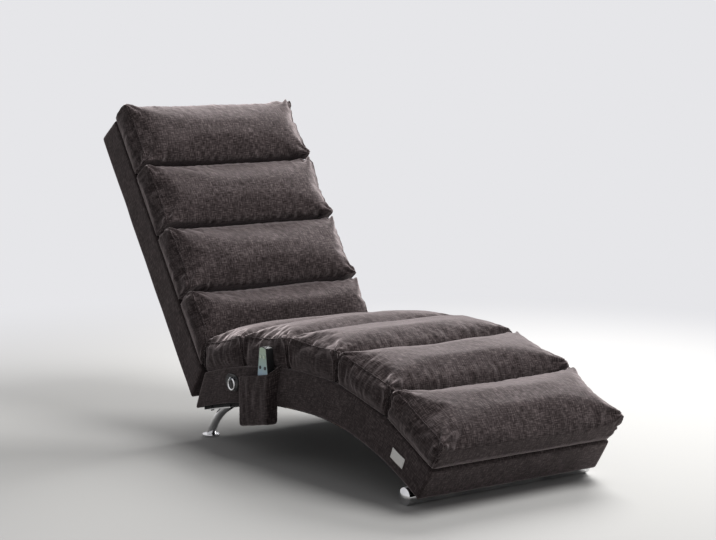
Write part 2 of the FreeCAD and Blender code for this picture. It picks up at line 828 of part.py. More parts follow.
def back_rails():
    """Lower faces of the cross rails, up the length of the back."""
    return spread(BACK_RAIL_LOW, BACK_LENGTH - BACK_RAIL_TOP_IN, BACK_RAILS)


def make_back_shell():
    shell = back_block(BACK_REAR, BACK_FRONT, 0, BACK_LENGTH, -HALF, HALF)
    inner_front = BACK_FRONT - COVER
    cavity = back_block(BACK_REAR - COVER, inner_front, COVER, BACK_LENGTH - COVER, -INNER, INNER)
    shell = shell.cut(cavity)
    for side in SIDES:
        y0, y1 = span(side, BACK_PLATE_INNER - SKIN_GAP, BACK_PLATE_FACE + SKIN_GAP)
        half = PLATE_WIDE / 2 + SKIN_GAP
        shell = shell.cut(box(-half, half, y0, y1, 0, PLATE_ARM))
    nodes["back_cover"] = place_back(shell)

    edge = COVER + SKIN_GAP
    side = INNER - SKIN_GAP
    sheet = back_block(BACK_REAR, BACK_REAR + REAR_SHEET, edge, BACK_LENGTH - edge, -side, side)
    nodes["back_rear_panel"] = place_back(sheet)


def make_back_frame():
    rear = BACK_REAR + REAR_SHEET
    front = BACK_FRONT - FRAME_TOP
    edge = COVER + SKIN_GAP
    stiles = []
    for side in SIDES:
        y0, y1 = span(side, BACK_PLATE_FACE, INNER)
        stile = back_block(rear, front, edge, BACK_LENGTH - edge, y0, y1)
        stiles.append(stile.cut(group(back_plate_bolts(side))))
    nodes["back_stiles"] = place_back(group(stiles))

    face = BACK_FRONT - COVER - SKIN_GAP
    back = face - STRAP_THICK - SKIN_GAP

    def pad_space(clear):
        half = HEATER_WIDE / 2 + clear
        low = HEATER_LOW - clear
        return box(back - HEATER_THICK - clear, back, -half, half, low, HEATER_LOW + HEATER_TALL + clear)

    nodes["lumbar_heater_pad"] = place_back(pad_space(0.0))
    rails = []
    bolt_room = group([room for side in SIDES for room in back_plate_bolts(side, SKIN_GAP)])
    for index, z in enumerate(back_rails()):
        half = BACK_PLATE_INNER if index == 0 else BACK_PLATE_FACE
        rail = box(rear, front, -half, half, z, z + RAIL_THICK)
        rails.append(rail.cut(pad_space(SKIN_GAP)).cut(bolt_room))
    nodes["back_rails"] = place_back(group(rails))

    straps = []
    half = INNER - SKIN_GAP
    for z in spread(BACK_STRAP_LOW, BACK_LENGTH - BACK_STRAP_TOP_IN, BACK_STRAPS):
        straps.append(box(face - STRAP_THICK, face, -half, half, z - STRAP_WIDE / 2, z + STRAP_WIDE / 2))
    nodes["back_webbing"] = place_back(group(straps))


# Release pull, cable and shaft

PULL_EYE_Z = top_z(PULL_X) - PULL_DROP
EYE_Y = -HALF - BEZEL_THICK - RING_WIRE - EYE_CLEAR - EYE_WALL - RUNNING_FIT
EYE = V(PULL_X, EYE_Y, PULL_EYE_Z)
FERRULE_END = V(PULL_X, -HALF - BEZEL_THICK + FERRULE_DEPTH, PULL_EYE_Z)
CABLE_WAY = point(-cosine(CABLE_SLOPE), -sine(CABLE_SLOPE))


def pull_hole(radius):
    start = V(PULL_X, -HALF - CUT_REACH, PULL_EYE_Z)
    return rod(radius, start, start + Y_AXIS * 2 * CUT_REACH)


def cable_corner():
    """Where the cable has turned rearward inside the seat base."""
    return FERRULE_END + CABLE_WAY * SHEATH_BEND + Y_AXIS * SHEATH_BEND


def cable_end():
    """Where the cable's sheath leaves through the rear wall of the seat cover."""
    start = cable_corner()
    flat = V(start.x, 0, start.z)
    reach = (REAR_CORNER - flat).dot(REAR_OUT) / CABLE_WAY.dot(REAR_OUT)
    return start + CABLE_WAY * reach


def sheath_hole(radius):
    return rod(radius, cable_corner(), cable_end() + CABLE_WAY * SHEATH_BEND)


def make_release():
    bezel_x = PULL_X - BEZEL_REARWARD
    bezel_z = PULL_EYE_Z - BEZEL_DROP
    round_end = BEZEL_TALL / 2
    flat = BEZEL_WIDE / 2 - round_end
    ends = [point(bezel_x + sign * flat, bezel_z) for sign in SIDES]
    edges = [
        line(ends[0] + Z_AXIS * round_end, ends[1] + Z_AXIS * round_end),
        arc(ends[1] + Z_AXIS * round_end, ends[1] + X_AXIS * round_end, ends[1] - Z_AXIS * round_end),
        line(ends[1] - Z_AXIS * round_end, ends[0] - Z_AXIS * round_end),
        arc(ends[0] - Z_AXIS * round_end, ends[0] - X_AXIS * round_end, ends[0] + Z_AXIS * round_end),
    ]
    bezel = prism(edges, -HALF - BEZEL_THICK, -HALF)
    nodes["release_bezel"] = bezel.cut(pull_hole(ROD_RADIUS + ROD_CLEAR))

    hole = RING_WIRE + EYE_CLEAR
    half = X_AXIS * (EYE_THICK / 2)
    eye = rod(hole + EYE_WALL, EYE - half, EYE + half)
    stem = rod(ROD_RADIUS, EYE + Y_AXIS * hole, EYE + Y_AXIS * ROD_LONG)
    pull = eye.fuse(stem).removeSplitter()
    nodes["release_pull_rod"] = pull.cut(rod(hole, EYE - X_AXIS * hole, EYE + X_AXIS * hole))

    nodes["release_d_ring"] = Part.makeTorus(RING_RADIUS, RING_WIRE, EYE - Z_AXIS * RING_RADIUS, Y_AXIS)

    start = V(PULL_X, -HALF, PULL_EYE_Z)
    bore_end = EYE + Y_AXIS * (ROD_LONG + SKIN_GAP)
    ferrule = rod(FERRULE_RADIUS, start, FERRULE_END).cut(rod(ROD_RADIUS + ROD_CLEAR, start, bore_end))
    half_turn = SHEATH_BEND * (1 - cosine(45))
    middle = FERRULE_END + CABLE_WAY * half_turn + Y_AXIS * (SHEATH_BEND * sine(45))
    path = [arc(FERRULE_END, middle, cable_corner()), line(cable_corner(), cable_end())]
    nodes["release_cable"] = ferrule.fuse(sweep(SHEATH_RADIUS, path, FERRULE_END, Y_AXIS)).removeSplitter()

    reach = Y_AXIS * (BOARD_FACE + CLIP_THICK)
    nodes["release_shaft"] = rod(SHAFT_RADIUS, AXIS - reach, AXIS + reach)
    clips = []
    for side in SIDES:
        near = AXIS + Y_AXIS * (side * (BOARD_FACE + RUNNING_FIT))
        far = AXIS + Y_AXIS * (side * (BOARD_FACE + CLIP_THICK))
        clips.append(tube(CLIP_RADIUS, SHAFT_RADIUS, near, far))
    nodes["release_shaft_clips"] = group(clips)

    lean = (REAR_LEAN + 90 - RECLINE_REST - BACK_END_SLOPE) / 2 - LEVER_REST_TURN
    up = point(sine(lean), cosine(lean))
    across = point(cosine(lean), -sine(lean)) * (LEVER_WIDE / 2)
    y0 = cable_end().y - LEVER_THICK / 2
    y1 = y0 + LEVER_THICK
    tip = AXIS + up * LEVER_LONG
    corners = [AXIS - across, AXIS + across, tip + across, tip - across]
    lever = plate([(corner.x, corner.z) for corner in corners], y0, y1)
    lever = lever.fuse(rod(CLIP_RADIUS, AXIS + Y_AXIS * y0, AXIS + Y_AXIS * y1)).removeSplitter()
    nodes["release_lever"] = lever.cut(rod(SHAFT_RADIUS, AXIS + Y_AXIS * y0, AXIS + Y_AXIS * y1))


# Pocket, tag and handset


def pocket_z(x, drop):
    return top_z(POCKET_X) - POCKET_DROP - drop + (x - POCKET_X) * tangent(POCKET_SLOPE)


def pocket_outline(inset, top_drop, low_drop):
    top = POCKET_TOP_WIDE / 2 - inset
    low = POCKET_LOW_WIDE / 2 - inset
    places = ((-top, top_drop), (top, top_drop), (low, low_drop), (-low, low_drop))
    return [(POCKET_X + x, pocket_z(POCKET_X + x, drop)) for x, drop in places]


def make_pocket():
    back = -HALF - POCKET_STANDOFF
    front = back - POCKET_DEPTH
    shell = plate(pocket_outline(0, 0, POCKET_TALL), front, back)
    inside = pocket_outline(POCKET_WALL, -POCKET_WALL, POCKET_TALL - POCKET_WALL)
    shell = shell.cut(plate(inside, front + POCKET_WALL, back - POCKET_WALL))
    rise = plate(pocket_outline(0, POCKET_WALL - POCKET_DROP, POCKET_WALL), back - POCKET_WALL, back)
    nodes["side_pocket"] = shell.fuse(rise).removeSplitter()


def make_tag():
    low = -HALF - POCKET_STANDOFF
    tag = box(-TAG_LONG / 2, TAG_LONG / 2, low - TAG_THICK, low, -TAG_TALL / 2, TAG_TALL / 2)
    tag.rotate(V(0, 0, 0), Y_AXIS, math.degrees(math.asin(TAG_X / TOP_FRONT_RADIUS)))
    tag.translate(point(TAG_X, top_z(TAG_X) - TAG_DROP))
    nodes["blank_tag"] = tag


HANDSET_LOW = pocket_z(HANDSET_X + HANDSET_WIDE / 2, POCKET_TALL - POCKET_WALL) + HANDSET_FLOOR_GAP
HANDSET_BACK = -HALF - POCKET_STANDOFF - POCKET_WALL - HANDSET_Y_GAP
HANDSET_FRONT = HANDSET_BACK - HANDSET_THICK


def handset_outline(inset):
    half = HANDSET_WIDE / 2 - inset
    nose = HANDSET_NOSE / 2 - inset
    top = HANDSET_LONG - HANDSET_NOSE_RISE - inset
    shoulder = HANDSET_SHOULDER
    corners = [(-half, inset), (half, inset), (half, shoulder), (nose, top), (-nose, top), (-half, shoulder)]
    places = [point(HANDSET_X + x, HANDSET_LOW + z) for x, z in corners]
    tip = point(HANDSET_X, HANDSET_LOW + HANDSET_LONG - inset)
    edges = [line(a, b) for a, b in zip(places[:3], places[1:4])]
    edges.append(arc(places[3], tip, places[4]))
    edges += [line(places[4], places[5]), line(places[5], places[0])]
    return edges


def make_handset():
    case = prism(handset_outline(0), HANDSET_FRONT, HANDSET_BACK)
    case = case.cut(prism(handset_outline(HANDSET_WALL), HANDSET_FRONT, HANDSET_BACK - HANDSET_WALL))
    nodes["handset_case"] = case
    fitted = handset_outline(HANDSET_WALL + RUNNING_FIT)
    face = prism(fitted, HANDSET_FRONT, HANDSET_FRONT + FACE_THICK)
    pcb = HANDSET_FRONT + HANDSET_PCB_DEPTH
    nodes["handset_circuit"] = prism(fitted, pcb, pcb + HANDSET_PCB)
    number = 0
    for row, aside in ((LOW_BUTTONS, LOW_BUTTONS_ASIDE), (HIGH_BUTTONS, HIGH_BUTTONS_ASIDE)):
        for side in SIDES:
            number += 1
            centre = V(HANDSET_X + side * aside, HANDSET_FRONT, HANDSET_LOW + row)
            behind = centre + Y_AXIS * (FACE_THICK + RUNNING_FIT)
            cap = rod(BUTTON_RADIUS, centre - Y_AXIS * BUTTON_PROUD, behind + Y_AXIS * BUTTON_BACK)
            collar = rod(BUTTON_RADIUS + BUTTON_COLLAR, behind, behind + Y_AXIS * (BUTTON_BACK / 2))
            nodes["handset_button_%d" % number] = cap.fuse(collar).removeSplitter()
            face = face.cut(rod(BUTTON_RADIUS + BUTTON_FIT, centre, behind))
    nodes["handset_face"] = face


# Vibration motors and control box


def motor_pieces():
    """Cup, can and eccentric weight of one motor, standing on X = 0 and turning about X."""
    cup = rod(MOTOR_SHELL_RADIUS, V(0, 0, 0), X_AXIS * MOTOR_SHELL_LONG)
    cup = cup.cut(rod(MOTOR_SHELL_RADIUS - MOTOR_WALL, V(0, 0, 0), X_AXIS * (MOTOR_SHELL_LONG - MOTOR_WALL)))
    stub = X_AXIS * (CAN_LONG - MOTOR_SHAFT_SEAT)
    can = rod(CAN_RADIUS, V(0, 0, 0), X_AXIS * CAN_LONG)
    can = can.cut(rod(MOTOR_SHAFT_RADIUS + RUNNING_FIT, stub, X_AXIS * CAN_LONG))
    start = CAN_LONG + WEIGHT_SPACE
    end = start + WEIGHT_LONG
    weight = rod(WEIGHT_RADIUS, X_AXIS * start, X_AXIS * end)
    weight = weight.cut(box(start, end, -WEIGHT_RADIUS, WEIGHT_RADIUS, 0, WEIGHT_RADIUS))
    weight = weight.fuse(rod(WEIGHT_HUB, X_AXIS * start, X_AXIS * end))
    weight = weight.fuse(rod(MOTOR_SHAFT_RADIUS, stub + X_AXIS * RUNNING_FIT, X_AXIS * end)).removeSplitter()
    return cup, can, weight


def rail_middle(x):
    return (top_z(x, FRAME_TOP) + under_z(x, FRAME_LOW)) / 2


def make_seat_motors():
    cups = []
    cans = []
    rails = seat_rails()
    for number, rail in enumerate((rails[1], rails[-1]), 1):
        x = rail + RAIL_THICK
        home = point(x, rail_middle(x + MOTOR_SHELL_LONG / 2))
        cup, can, weight = [piece.translated(home) for piece in motor_pieces()]
        cups.append(cup)
        cans.append(can)
        nodes["seat_motor_weight_%d" % number] = weight
    nodes["seat_motor_cups"] = group(cups)
    nodes["seat_motor_cans"] = group(cans)


def make_back_motors():
    cups = []
    cans = []
    for number, rail in enumerate(back_rails()[1:-1], 1):
        home = point((BACK_REAR + BACK_FRONT) / 2, rail + RAIL_THICK)
        pieces = []
        for piece in motor_pieces():
            piece.rotate(V(0, 0, 0), Y_AXIS, -90)
            piece.translate(home)
            pieces.append(place_back(piece))
        cups.append(pieces[0])
        cans.append(pieces[1])
        nodes["back_motor_weight_%d" % number] = pieces[2]
    nodes["back_motor_cups"] = group(cups)
    nodes["back_motor_cans"] = group(cans)


def make_control_box():
    front = box_rail()
    rear = front - BOX_DEEP
    middle = rail_middle((front + rear) / 2)
    low = middle - BOX_TALL / 2
    high = middle + BOX_TALL / 2
    y0 = BOX_Y - BOX_WIDE / 2
    y1 = BOX_Y + BOX_WIDE / 2
    w = BOX_WALL
    tray = box(rear + BOX_LID, front, y0, y1, low, high)
    nodes["control_box_tray"] = tray.cut(box(rear, front - w, y0 + w, y1 - w, low + w, high - w))
    nodes["control_box_lid"] = box(rear, rear + BOX_LID, y0, y1, low, high)
    edge = w + SKIN_GAP
    board_x = front - w - PCB_STANDOFF
    board = box(board_x - BOARD_PCB, board_x, y0 + edge, y1 - edge, low + edge, high - edge)
    nodes["control_board"] = board
    hole = inlet_place()
    bottom = hole - Z_AXIS * INLET_PROUD
    body = rod(INLET_RADIUS, bottom, V(hole.x, hole.y, low))
    flange = rod(INLET_FLANGE, bottom, bottom + Z_AXIS * INLET_FLANGE_THICK)
    body = body.fuse(flange).removeSplitter()
    nodes["power_inlet"] = body.cut(rod(INLET_BORE, bottom, bottom + Z_AXIS * INLET_DEPTH))


make_seat_cover()
make_dust_cover()
make_seat_frame()
make_front_foot()
make_rear_legs()
make_seat_bolsters()
make_back_bolsters()
make_seat_plates()
make_back_plates()
make_back_shell()
make_back_frame()
make_release()
make_pocket()
make_tag()
make_handset()
make_seat_motors()
make_back_motors()
make_control_box()

# The finished part stands with the middle of its footprint on the origin.
whole = group(list(nodes.values())).optimalBoundingBox(False, False)
shift = V(-whole.Center.x, -whole.Center.y, -whole.ZMin)
os.makedirs("parts", exist_ok=True)
for name, shape in nodes.items():
    shape.translate(shift)
    shape.exportStep("parts/" + name + ".step")
print("size", whole.XLength, whole.YLength, whole.ZLength, "shift", shift)
print("recline axis", AXIS + shift)
print("pull eye", EYE + shift)
for name, shape in nodes.items():
    if "motor_weight" in name or name in ("power_inlet", "rear_leg_glides", "side_pocket"):
        print(name, shape.BoundBox)
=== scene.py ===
import json
import math

import bpy
import numpy as np
from mathutils import Matrix, Vector, noise


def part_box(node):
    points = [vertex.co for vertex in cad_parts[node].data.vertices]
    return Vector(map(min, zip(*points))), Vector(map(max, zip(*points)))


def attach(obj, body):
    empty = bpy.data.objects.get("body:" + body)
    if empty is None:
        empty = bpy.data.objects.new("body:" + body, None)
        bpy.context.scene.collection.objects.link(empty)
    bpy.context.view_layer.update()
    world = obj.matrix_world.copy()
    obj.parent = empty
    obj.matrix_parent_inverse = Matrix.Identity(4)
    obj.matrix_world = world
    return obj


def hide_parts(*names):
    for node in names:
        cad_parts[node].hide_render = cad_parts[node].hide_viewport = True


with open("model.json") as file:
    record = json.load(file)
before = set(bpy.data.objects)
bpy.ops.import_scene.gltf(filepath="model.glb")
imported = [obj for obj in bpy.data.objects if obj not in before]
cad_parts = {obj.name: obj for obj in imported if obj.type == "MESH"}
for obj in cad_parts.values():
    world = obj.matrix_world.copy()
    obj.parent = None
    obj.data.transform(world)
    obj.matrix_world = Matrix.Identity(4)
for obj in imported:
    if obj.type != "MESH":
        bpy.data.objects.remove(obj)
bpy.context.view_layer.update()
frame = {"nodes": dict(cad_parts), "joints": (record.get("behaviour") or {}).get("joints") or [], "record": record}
nodes = frame["nodes"]
MM = 0.001
# Keeps a division from being by zero, and tells places on a unit block apart
TINY = 1e-9
SAME = 1e-6

# Camera that took the view, in the part's frame
CAMERA_AHEAD = 4.0511
CAMERA_ASIDE = 2.8484
CAMERA_HIGH = 1.0923
CAMERA_AZIMUTH = 54.309
CAMERA_PITCH = 7.318
CAMERA_LENS = 95.49

# Seat base, as the frame has it
APEX_X = 252.88 * MM
TOP_RADII = (1750 * MM, 900 * MM)
UNDER_RADII = (1950 * MM, 850 * MM)
SEAT_THICK = 100.5 * MM
SEAT_REACH = (-487 * MM, 499 * MM)
REAR_LEAN = math.radians(25.6)
FRONT_LEAN = math.radians(34)
SEAT_BOLSTERS = 5

# Back, measured from the recline axis: out of its front, and up its length
RECLINE_REST = math.radians(35.4)
BACK_FRONT = 57 * MM
BACK_REAR = -41 * MM
BACK_LENGTH = 827 * MM
BACK_END_GAP = 11.5 * MM
BACK_END_SLOPE = math.radians(21.2)
BACK_BOLSTERS = 4
BACK_BOLSTER_TOP = 842 * MM
BACK_BOLSTER_FOOT = 8 * MM

# Bolsters
BOLSTER_GAP = 0.4 * MM
BOLSTER_STEP = 6.5 * MM
COVER_HIGH = 80 * MM
DIVIDE_LEAN = math.radians(4.5)

# Side pocket, as the frame has it
POCKET_FROM_REAR = 286.5 * MM
POCKET_TOP_WIDE = 136 * MM
POCKET_LOW_WIDE = 133 * MM
POCKET_TALL = 125.5 * MM
POCKET_DROP = 21.7 * MM
POCKET_SLOPE = math.radians(11)
POCKET_DEPTH = 28 * MM
SIDE_STANDOFF = 0.3 * MM

# Sewn tag
TAG_LONG = 50 * MM
TAG_TALL = 27 * MM
TAG_FROM_FRONT = 127 * MM

recline = next(joint for joint in frame["joints"] if joint["name"] == "back_recline")
AXIS = Vector(recline["pos_m"])
seat_low, seat_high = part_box("seat_cover")
MIDDLE_Y = (seat_low.y + seat_high.y) / 2
WIDTH = seat_high.y - seat_low.y
APEX_TOP = seat_high.z
APEX_UNDER = APEX_TOP - SEAT_THICK


# Colours and materials


def linear(colour):
    """An sRGB hex colour as linear RGBA."""
    parts = [int(colour[i:i + 2], 16) / 255 for i in (0, 2, 4)]
    return [c / 12.92 if c <= 0.04045 else ((c + 0.055) / 1.055) ** 2.4 for c in parts] + [1.0]


def add(tree, kind, links=None, **settings):
    """Adds a node. Settings are node properties or socket values, links are socket name to output socket."""
    node = tree.nodes.new(kind)
    for name, value in settings.items():
        if hasattr(node, name):
            setattr(node, name, value)
        else:
            node.inputs[name.replace("_", " ")].default_value = value
    for name, output in (links or {}).items():
        tree.links.new(output, node.inputs[name])
    return node


def material(name, **sockets):
    """A new material, its node tree and its shader, with these socket values."""
    made = bpy.data.materials.new(name)
    made.use_nodes = True
    shader = made.node_tree.nodes["Principled BSDF"]
    for socket, value in sockets.items():
        shader.inputs[socket.replace("_", " ")].default_value = value
    return made, made.node_tree, shader


def ramp(tree, factor, *stops):
    """Colour ramp from (position, hex colour) stops."""
    node = add(tree, "ShaderNodeValToRGB", {"Fac": factor})
    elements = node.color_ramp.elements
    while len(elements) < len(stops):
        elements.new(0.5)
    for element, (place, colour) in zip(elements, stops):
        element.position = place
        element.color = linear(colour)
    return node.outputs["Color"]


def stretched(tree, coordinates, size, **settings):
    """Noise whose grain measures size along X, Y and Z."""
    scaled = add(tree, "ShaderNodeMapping", {"Vector": coordinates}, vector_type="POINT")
    scaled.inputs["Scale"].default_value = [1 / length for length in size]
    return add(tree, "ShaderNodeTexNoise", {"Vector": scaled.outputs["Vector"]}, Scale=1.0, **settings)


# Cloth of the covers. Real slubs are about 1 by 5 mm; they are drawn coarser so that they show
SLUB_THICK = 2.5 * MM
SLUB_LONG = 18 * MM
NAP_GRAIN = (60 * MM, 80 * MM, 1)
NAP_SHARE = 0.16
SLUB_DEEP = 1.2 * MM


def make_chenille():
    """Charcoal chenille, woven from thick fuzzy yarn: crossing slubs along both yarns and a soft pale nap.

    It follows the flat cloth kept on each piece."""
    made, tree, shader = material("charcoal_chenille", Roughness=0.84, Specular_IOR_Level=0.05,
                                  Sheen_Weight=1.0, Sheen_Roughness=0.38)
    shader.inputs["Sheen Tint"].default_value = linear("dccfcf")
    cloth = add(tree, "ShaderNodeAttribute", attribute_name="cloth").outputs["Vector"]
    weft = stretched(tree, cloth, (SLUB_THICK, SLUB_LONG, 1), Detail=1.0, Roughness=0.5)
    warp = stretched(tree, cloth, (SLUB_LONG, SLUB_THICK, 1), Detail=1.0, Roughness=0.5)
    nap = stretched(tree, cloth, NAP_GRAIN, Detail=3.0, Roughness=0.55)
    yarns = add(tree, "ShaderNodeMix", {"A": weft.outputs["Fac"], "B": warp.outputs["Fac"]}, Factor=0.5)
    mottled = add(tree, "ShaderNodeMix", {"A": yarns.outputs["Result"], "B": nap.outputs["Fac"]},
                  Factor=NAP_SHARE)
    colour = ramp(tree, mottled.outputs["Result"], (0.36, "191414"), (0.50, "352e2e"), (0.64, "5a5151"))
    tree.links.new(colour, shader.inputs["Base Color"])
    bump = add(tree, "ShaderNodeBump", {"Height": yarns.outputs["Result"]}, Strength=0.5, Distance=SLUB_DEEP)
    tree.links.new(bump.outputs["Normal"], shader.inputs["Normal"])
    return made


def make_lining():
    """Black non-woven polypropylene: a dull sheet with a fine pressed grain."""
    made, tree, shader = material("black_spunbond_lining", Roughness=0.85, Specular_IOR_Level=0.25)
    place = add(tree, "ShaderNodeTexCoord").outputs["Object"]
    grain = stretched(tree, place, (2 * MM, 2 * MM, 2 * MM), Detail=2.0)
    colour = ramp(tree, grain.outputs["Fac"], (0.35, "0d0d0e"), (0.65, "1d1d1f"))
    tree.links.new(colour, shader.inputs["Base Color"])
    bump = add(tree, "ShaderNodeBump", {"Height": grain.outputs["Fac"]}, Strength=0.3, Distance=0.4 * MM)
    tree.links.new(bump.outputs["Normal"], shader.inputs["Normal"])
    return made


def make_metal(name, dark, pale, roughness, smudge):
    """Metal whose colour and gloss vary a little with handling."""
    made, tree, shader = material(name, Metallic=1.0)
    place = add(tree, "ShaderNodeTexCoord").outputs["Object"]
    marks = stretched(tree, place, (smudge, smudge, smudge), Detail=4.0, Roughness=0.6)
    tree.links.new(ramp(tree, marks.outputs["Fac"], (0.3, dark), (0.7, pale)), shader.inputs["Base Color"])
    spread = add(tree, "ShaderNodeMapRange", {"Value": marks.outputs["Fac"]})
    spread.inputs["To Min"].default_value = roughness * 0.7
    spread.inputs["To Max"].default_value = roughness * 1.4
    tree.links.new(spread.outputs["Result"], shader.inputs["Roughness"])
    return made


def make_plastic(name, dark, pale, roughness, grain_size, depth):
    """Moulded ABS: nearly even colour with a fine spark-eroded grain."""
    made, tree, shader = material(name, IOR=1.53)
    place = add(tree, "ShaderNodeTexCoord").outputs["Object"]
    grain = stretched(tree, place, (grain_size, grain_size, grain_size), Detail=2.0)
    tree.links.new(ramp(tree, grain.outputs["Fac"], (0.35, dark), (0.65, pale)), shader.inputs["Base Color"])
    shader.inputs["Roughness"].default_value = roughness
    bump = add(tree, "ShaderNodeBump", {"Height": grain.outputs["Fac"]}, Strength=0.4, Distance=depth)
    tree.links.new(bump.outputs["Normal"], shader.inputs["Normal"])
    return made


def make_timber(name, dark, pale, roughness):
    """Sawn poplar or painted board: long grain across the width."""
    made, tree, shader = material(name, Roughness=roughness, IOR=1.5)
    place = add(tree, "ShaderNodeTexCoord").outputs["Object"]
    grain = stretched(tree, place, (6 * MM, 90 * MM, 6 * MM), Detail=5.0, Roughness=0.6)
    tree.links.new(ramp(tree, grain.outputs["Fac"], (0.3, dark), (0.7, pale)), shader.inputs["Base Color"])
    bump = add(tree, "ShaderNodeBump", {"Height": grain.outputs["Fac"]}, Strength=0.25, Distance=0.4 * MM)
    tree.links.new(bump.outputs["Normal"], shader.inputs["Normal"])
    return made


def make_ribbon(name, dark, pale, thread):
    """Woven tape: fine ribs along the weft."""
    made, tree, shader = material(name, Roughness=0.8, Specular_IOR_Level=0.3)
    place = add(tree, "ShaderNodeTexCoord").outputs["Object"]
    ribs = stretched(tree, place, (thread, 6 * thread, thread), Detail=2.0)
    tree.links.new(ramp(tree, ribs.outputs["Fac"], (0.35, dark), (0.65, pale)), shader.inputs["Base Color"])
    bump = add(tree, "ShaderNodeBump", {"Height": ribs.outputs["Fac"]}, Strength=0.4, Distance=0.3 * MM)
    tree.links.new(bump.outputs["Normal"], shader.inputs["Normal"])
    return made


CHENILLE = make_chenille()
FINISHES = {
    "upholstery_fabric": CHENILLE,
    "black_lining": make_lining(),
    "webbing": make_ribbon("jute_webbing", "6b5a3c", "94815c", 2 * MM),
    "frame_timber": make_timber("sawn_poplar", "8a6a45", "b08c60", 0.75),
    "black_board": make_timber("black_painted_plywood", "080807", "121110", 0.8),
    "chrome_tube": make_metal("chrome_plate", "c4c4c6", "e6e6e6", 0.09, 60 * MM),
    "hinge_steel": make_metal("black_oxide_steel", "161616", "262626", 0.42, 12 * MM),
    "zinc_steel": make_metal("zinc_plated_steel", "8f9398", "b4b8bb", 0.32, 8 * MM),
    "black_plastic": make_plastic("black_moulded_abs", "0c0c0d", "171718", 0.42, 0.8 * MM, 0.12 * MM),
    "grey_plastic": make_plastic("pale_moulded_abs", "8fa6a6", "a3b8b4", 0.35, 0.8 * MM, 0.05 * MM),
    "button_plastic": make_plastic("dark_moulded_abs", "22272c", "30363c", 0.4, 0.6 * MM, 0.05 * MM),
    "circuit_board": make_plastic("green_glass_epoxy", "0d3a1d", "165029", 0.35, 1.5 * MM, 0.05 * MM),
    "motor_weight": make_metal("sintered_brass", "8a703a", "a88a4c", 0.35, 5 * MM),
    "heater_film": make_plastic("polyimide_film", "8a4412", "a9581c", 0.3, 3 * MM, 0.05 * MM),
    "tag_cloth": make_ribbon("white_satin_ribbon", "e4e3df", "f6f5f2", 0.5 * MM),
}
DARK_THREAD = make_ribbon("charcoal_polyester_thread", "1d191a", "352f2f", 0.3 * MM)
PALE_THREAD = make_ribbon("white_polyester_thread", "b9b8b4", "d4d3d0", 0.3 * MM)
for entry in frame["record"]["subparts"]:
    node = nodes[entry["node"]]
    node.data.materials.clear()
    node.data.materials.append(FINISHES[entry["material_slot"]])

# Height of the handset's face that the pocket hides
FACE_HIDDEN = 105 * MM
FACE_CLOUD = 14 * MM


def make_face_plastic():
    """Moulded ABS handset face with a clear lacquer: pale green at the nose, blue towards the pocket."""
    made, tree, shader = material("lacquered_abs_face", Roughness=0.3, IOR=1.53,
                                  Coat_Weight=0.5, Coat_Roughness=0.1)
    low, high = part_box("handset_face")
    place = add(tree, "ShaderNodeTexCoord").outputs["Object"]
    height = add(tree, "ShaderNodeSeparateXYZ", {"Vector": place}).outputs["Z"]
    share = add(tree, "ShaderNodeMapRange", {"Value": height}, From_Min=low.z + FACE_HIDDEN, From_Max=high.z)
    cloud = stretched(tree, place, (FACE_CLOUD, FACE_CLOUD, FACE_CLOUD), Detail=2.0)
    drift = add(tree, "ShaderNodeMix", {"A": share.outputs["Result"], "B": cloud.outputs["Fac"]}, Factor=0.2)
    colour = ramp(tree, drift.outputs["Result"], (0.1, "8fb4d6"), (0.45, "a4c2bf"), (0.8, "b4cbb0"))
    tree.links.new(colour, shader.inputs["Base Color"])
    return made


nodes["handset_face"].data.materials[0] = make_face_plastic()
pale_button = make_plastic("pale_translucent_abs", "cfe0c6", "e2eed8", 0.3, 0.6 * MM, 0.05 * MM)
for name in ("handset_button_3", "handset_button_4"):
    nodes[name].data.materials[0] = pale_button
nodes["leg_screws"].data.materials[0] = FINISHES["hinge_steel"]

# Rounded edges of the rigid pieces that show

EDGE_ROUND = {"handset_case": 1.2 * MM, "handset_face": 0.5 * MM, "handset_button_1": 0.5 * MM,
              "handset_button_2": 0.5 * MM, "handset_button_3": 0.5 * MM, "handset_button_4": 0.5 * MM,
              "release_bezel": 0.8 * MM, "rear_leg_board": 1.0 * MM, "power_inlet": 0.6 * MM,
              "control_box_tray": 0.8 * MM, "control_box_lid": 0.8 * MM}
EDGE_JOIN = 0.01 * MM
EDGE_STEPS = 3
EDGE_SHARPER_THAN = math.radians(40)
for name, radius in EDGE_ROUND.items():
    joined = nodes[name].modifiers.new("joined_edges", "WELD")
    joined.merge_threshold = EDGE_JOIN
    edges = nodes[name].modifiers.new("rounded_edges", "BEVEL")
    edges.width = radius
    edges.segments = EDGE_STEPS
    edges.limit_method = "ANGLE"
    edges.angle_limit = EDGE_SHARPER_THAN


# Mesh helpers


def new_piece(name, points, faces, finish, cloth=None):
    """A smooth mesh object. cloth says where each point lies on the flat cloth, for the weave."""
    mesh = bpy.data.meshes.new(name)
    mesh.from_pydata([tuple(p) for p in points], [], faces)
    mesh.materials.append(finish)
    mesh.shade_smooth()
    if cloth is not None:
        layer = mesh.attributes.new("cloth", "FLOAT_VECTOR", "POINT")
        layer.data.foreach_set("vector", np.asarray(cloth, dtype=np.float32).ravel())
    piece = bpy.data.objects.new(name, mesh)
    bpy.context.scene.collection.objects.link(piece)
    return piece


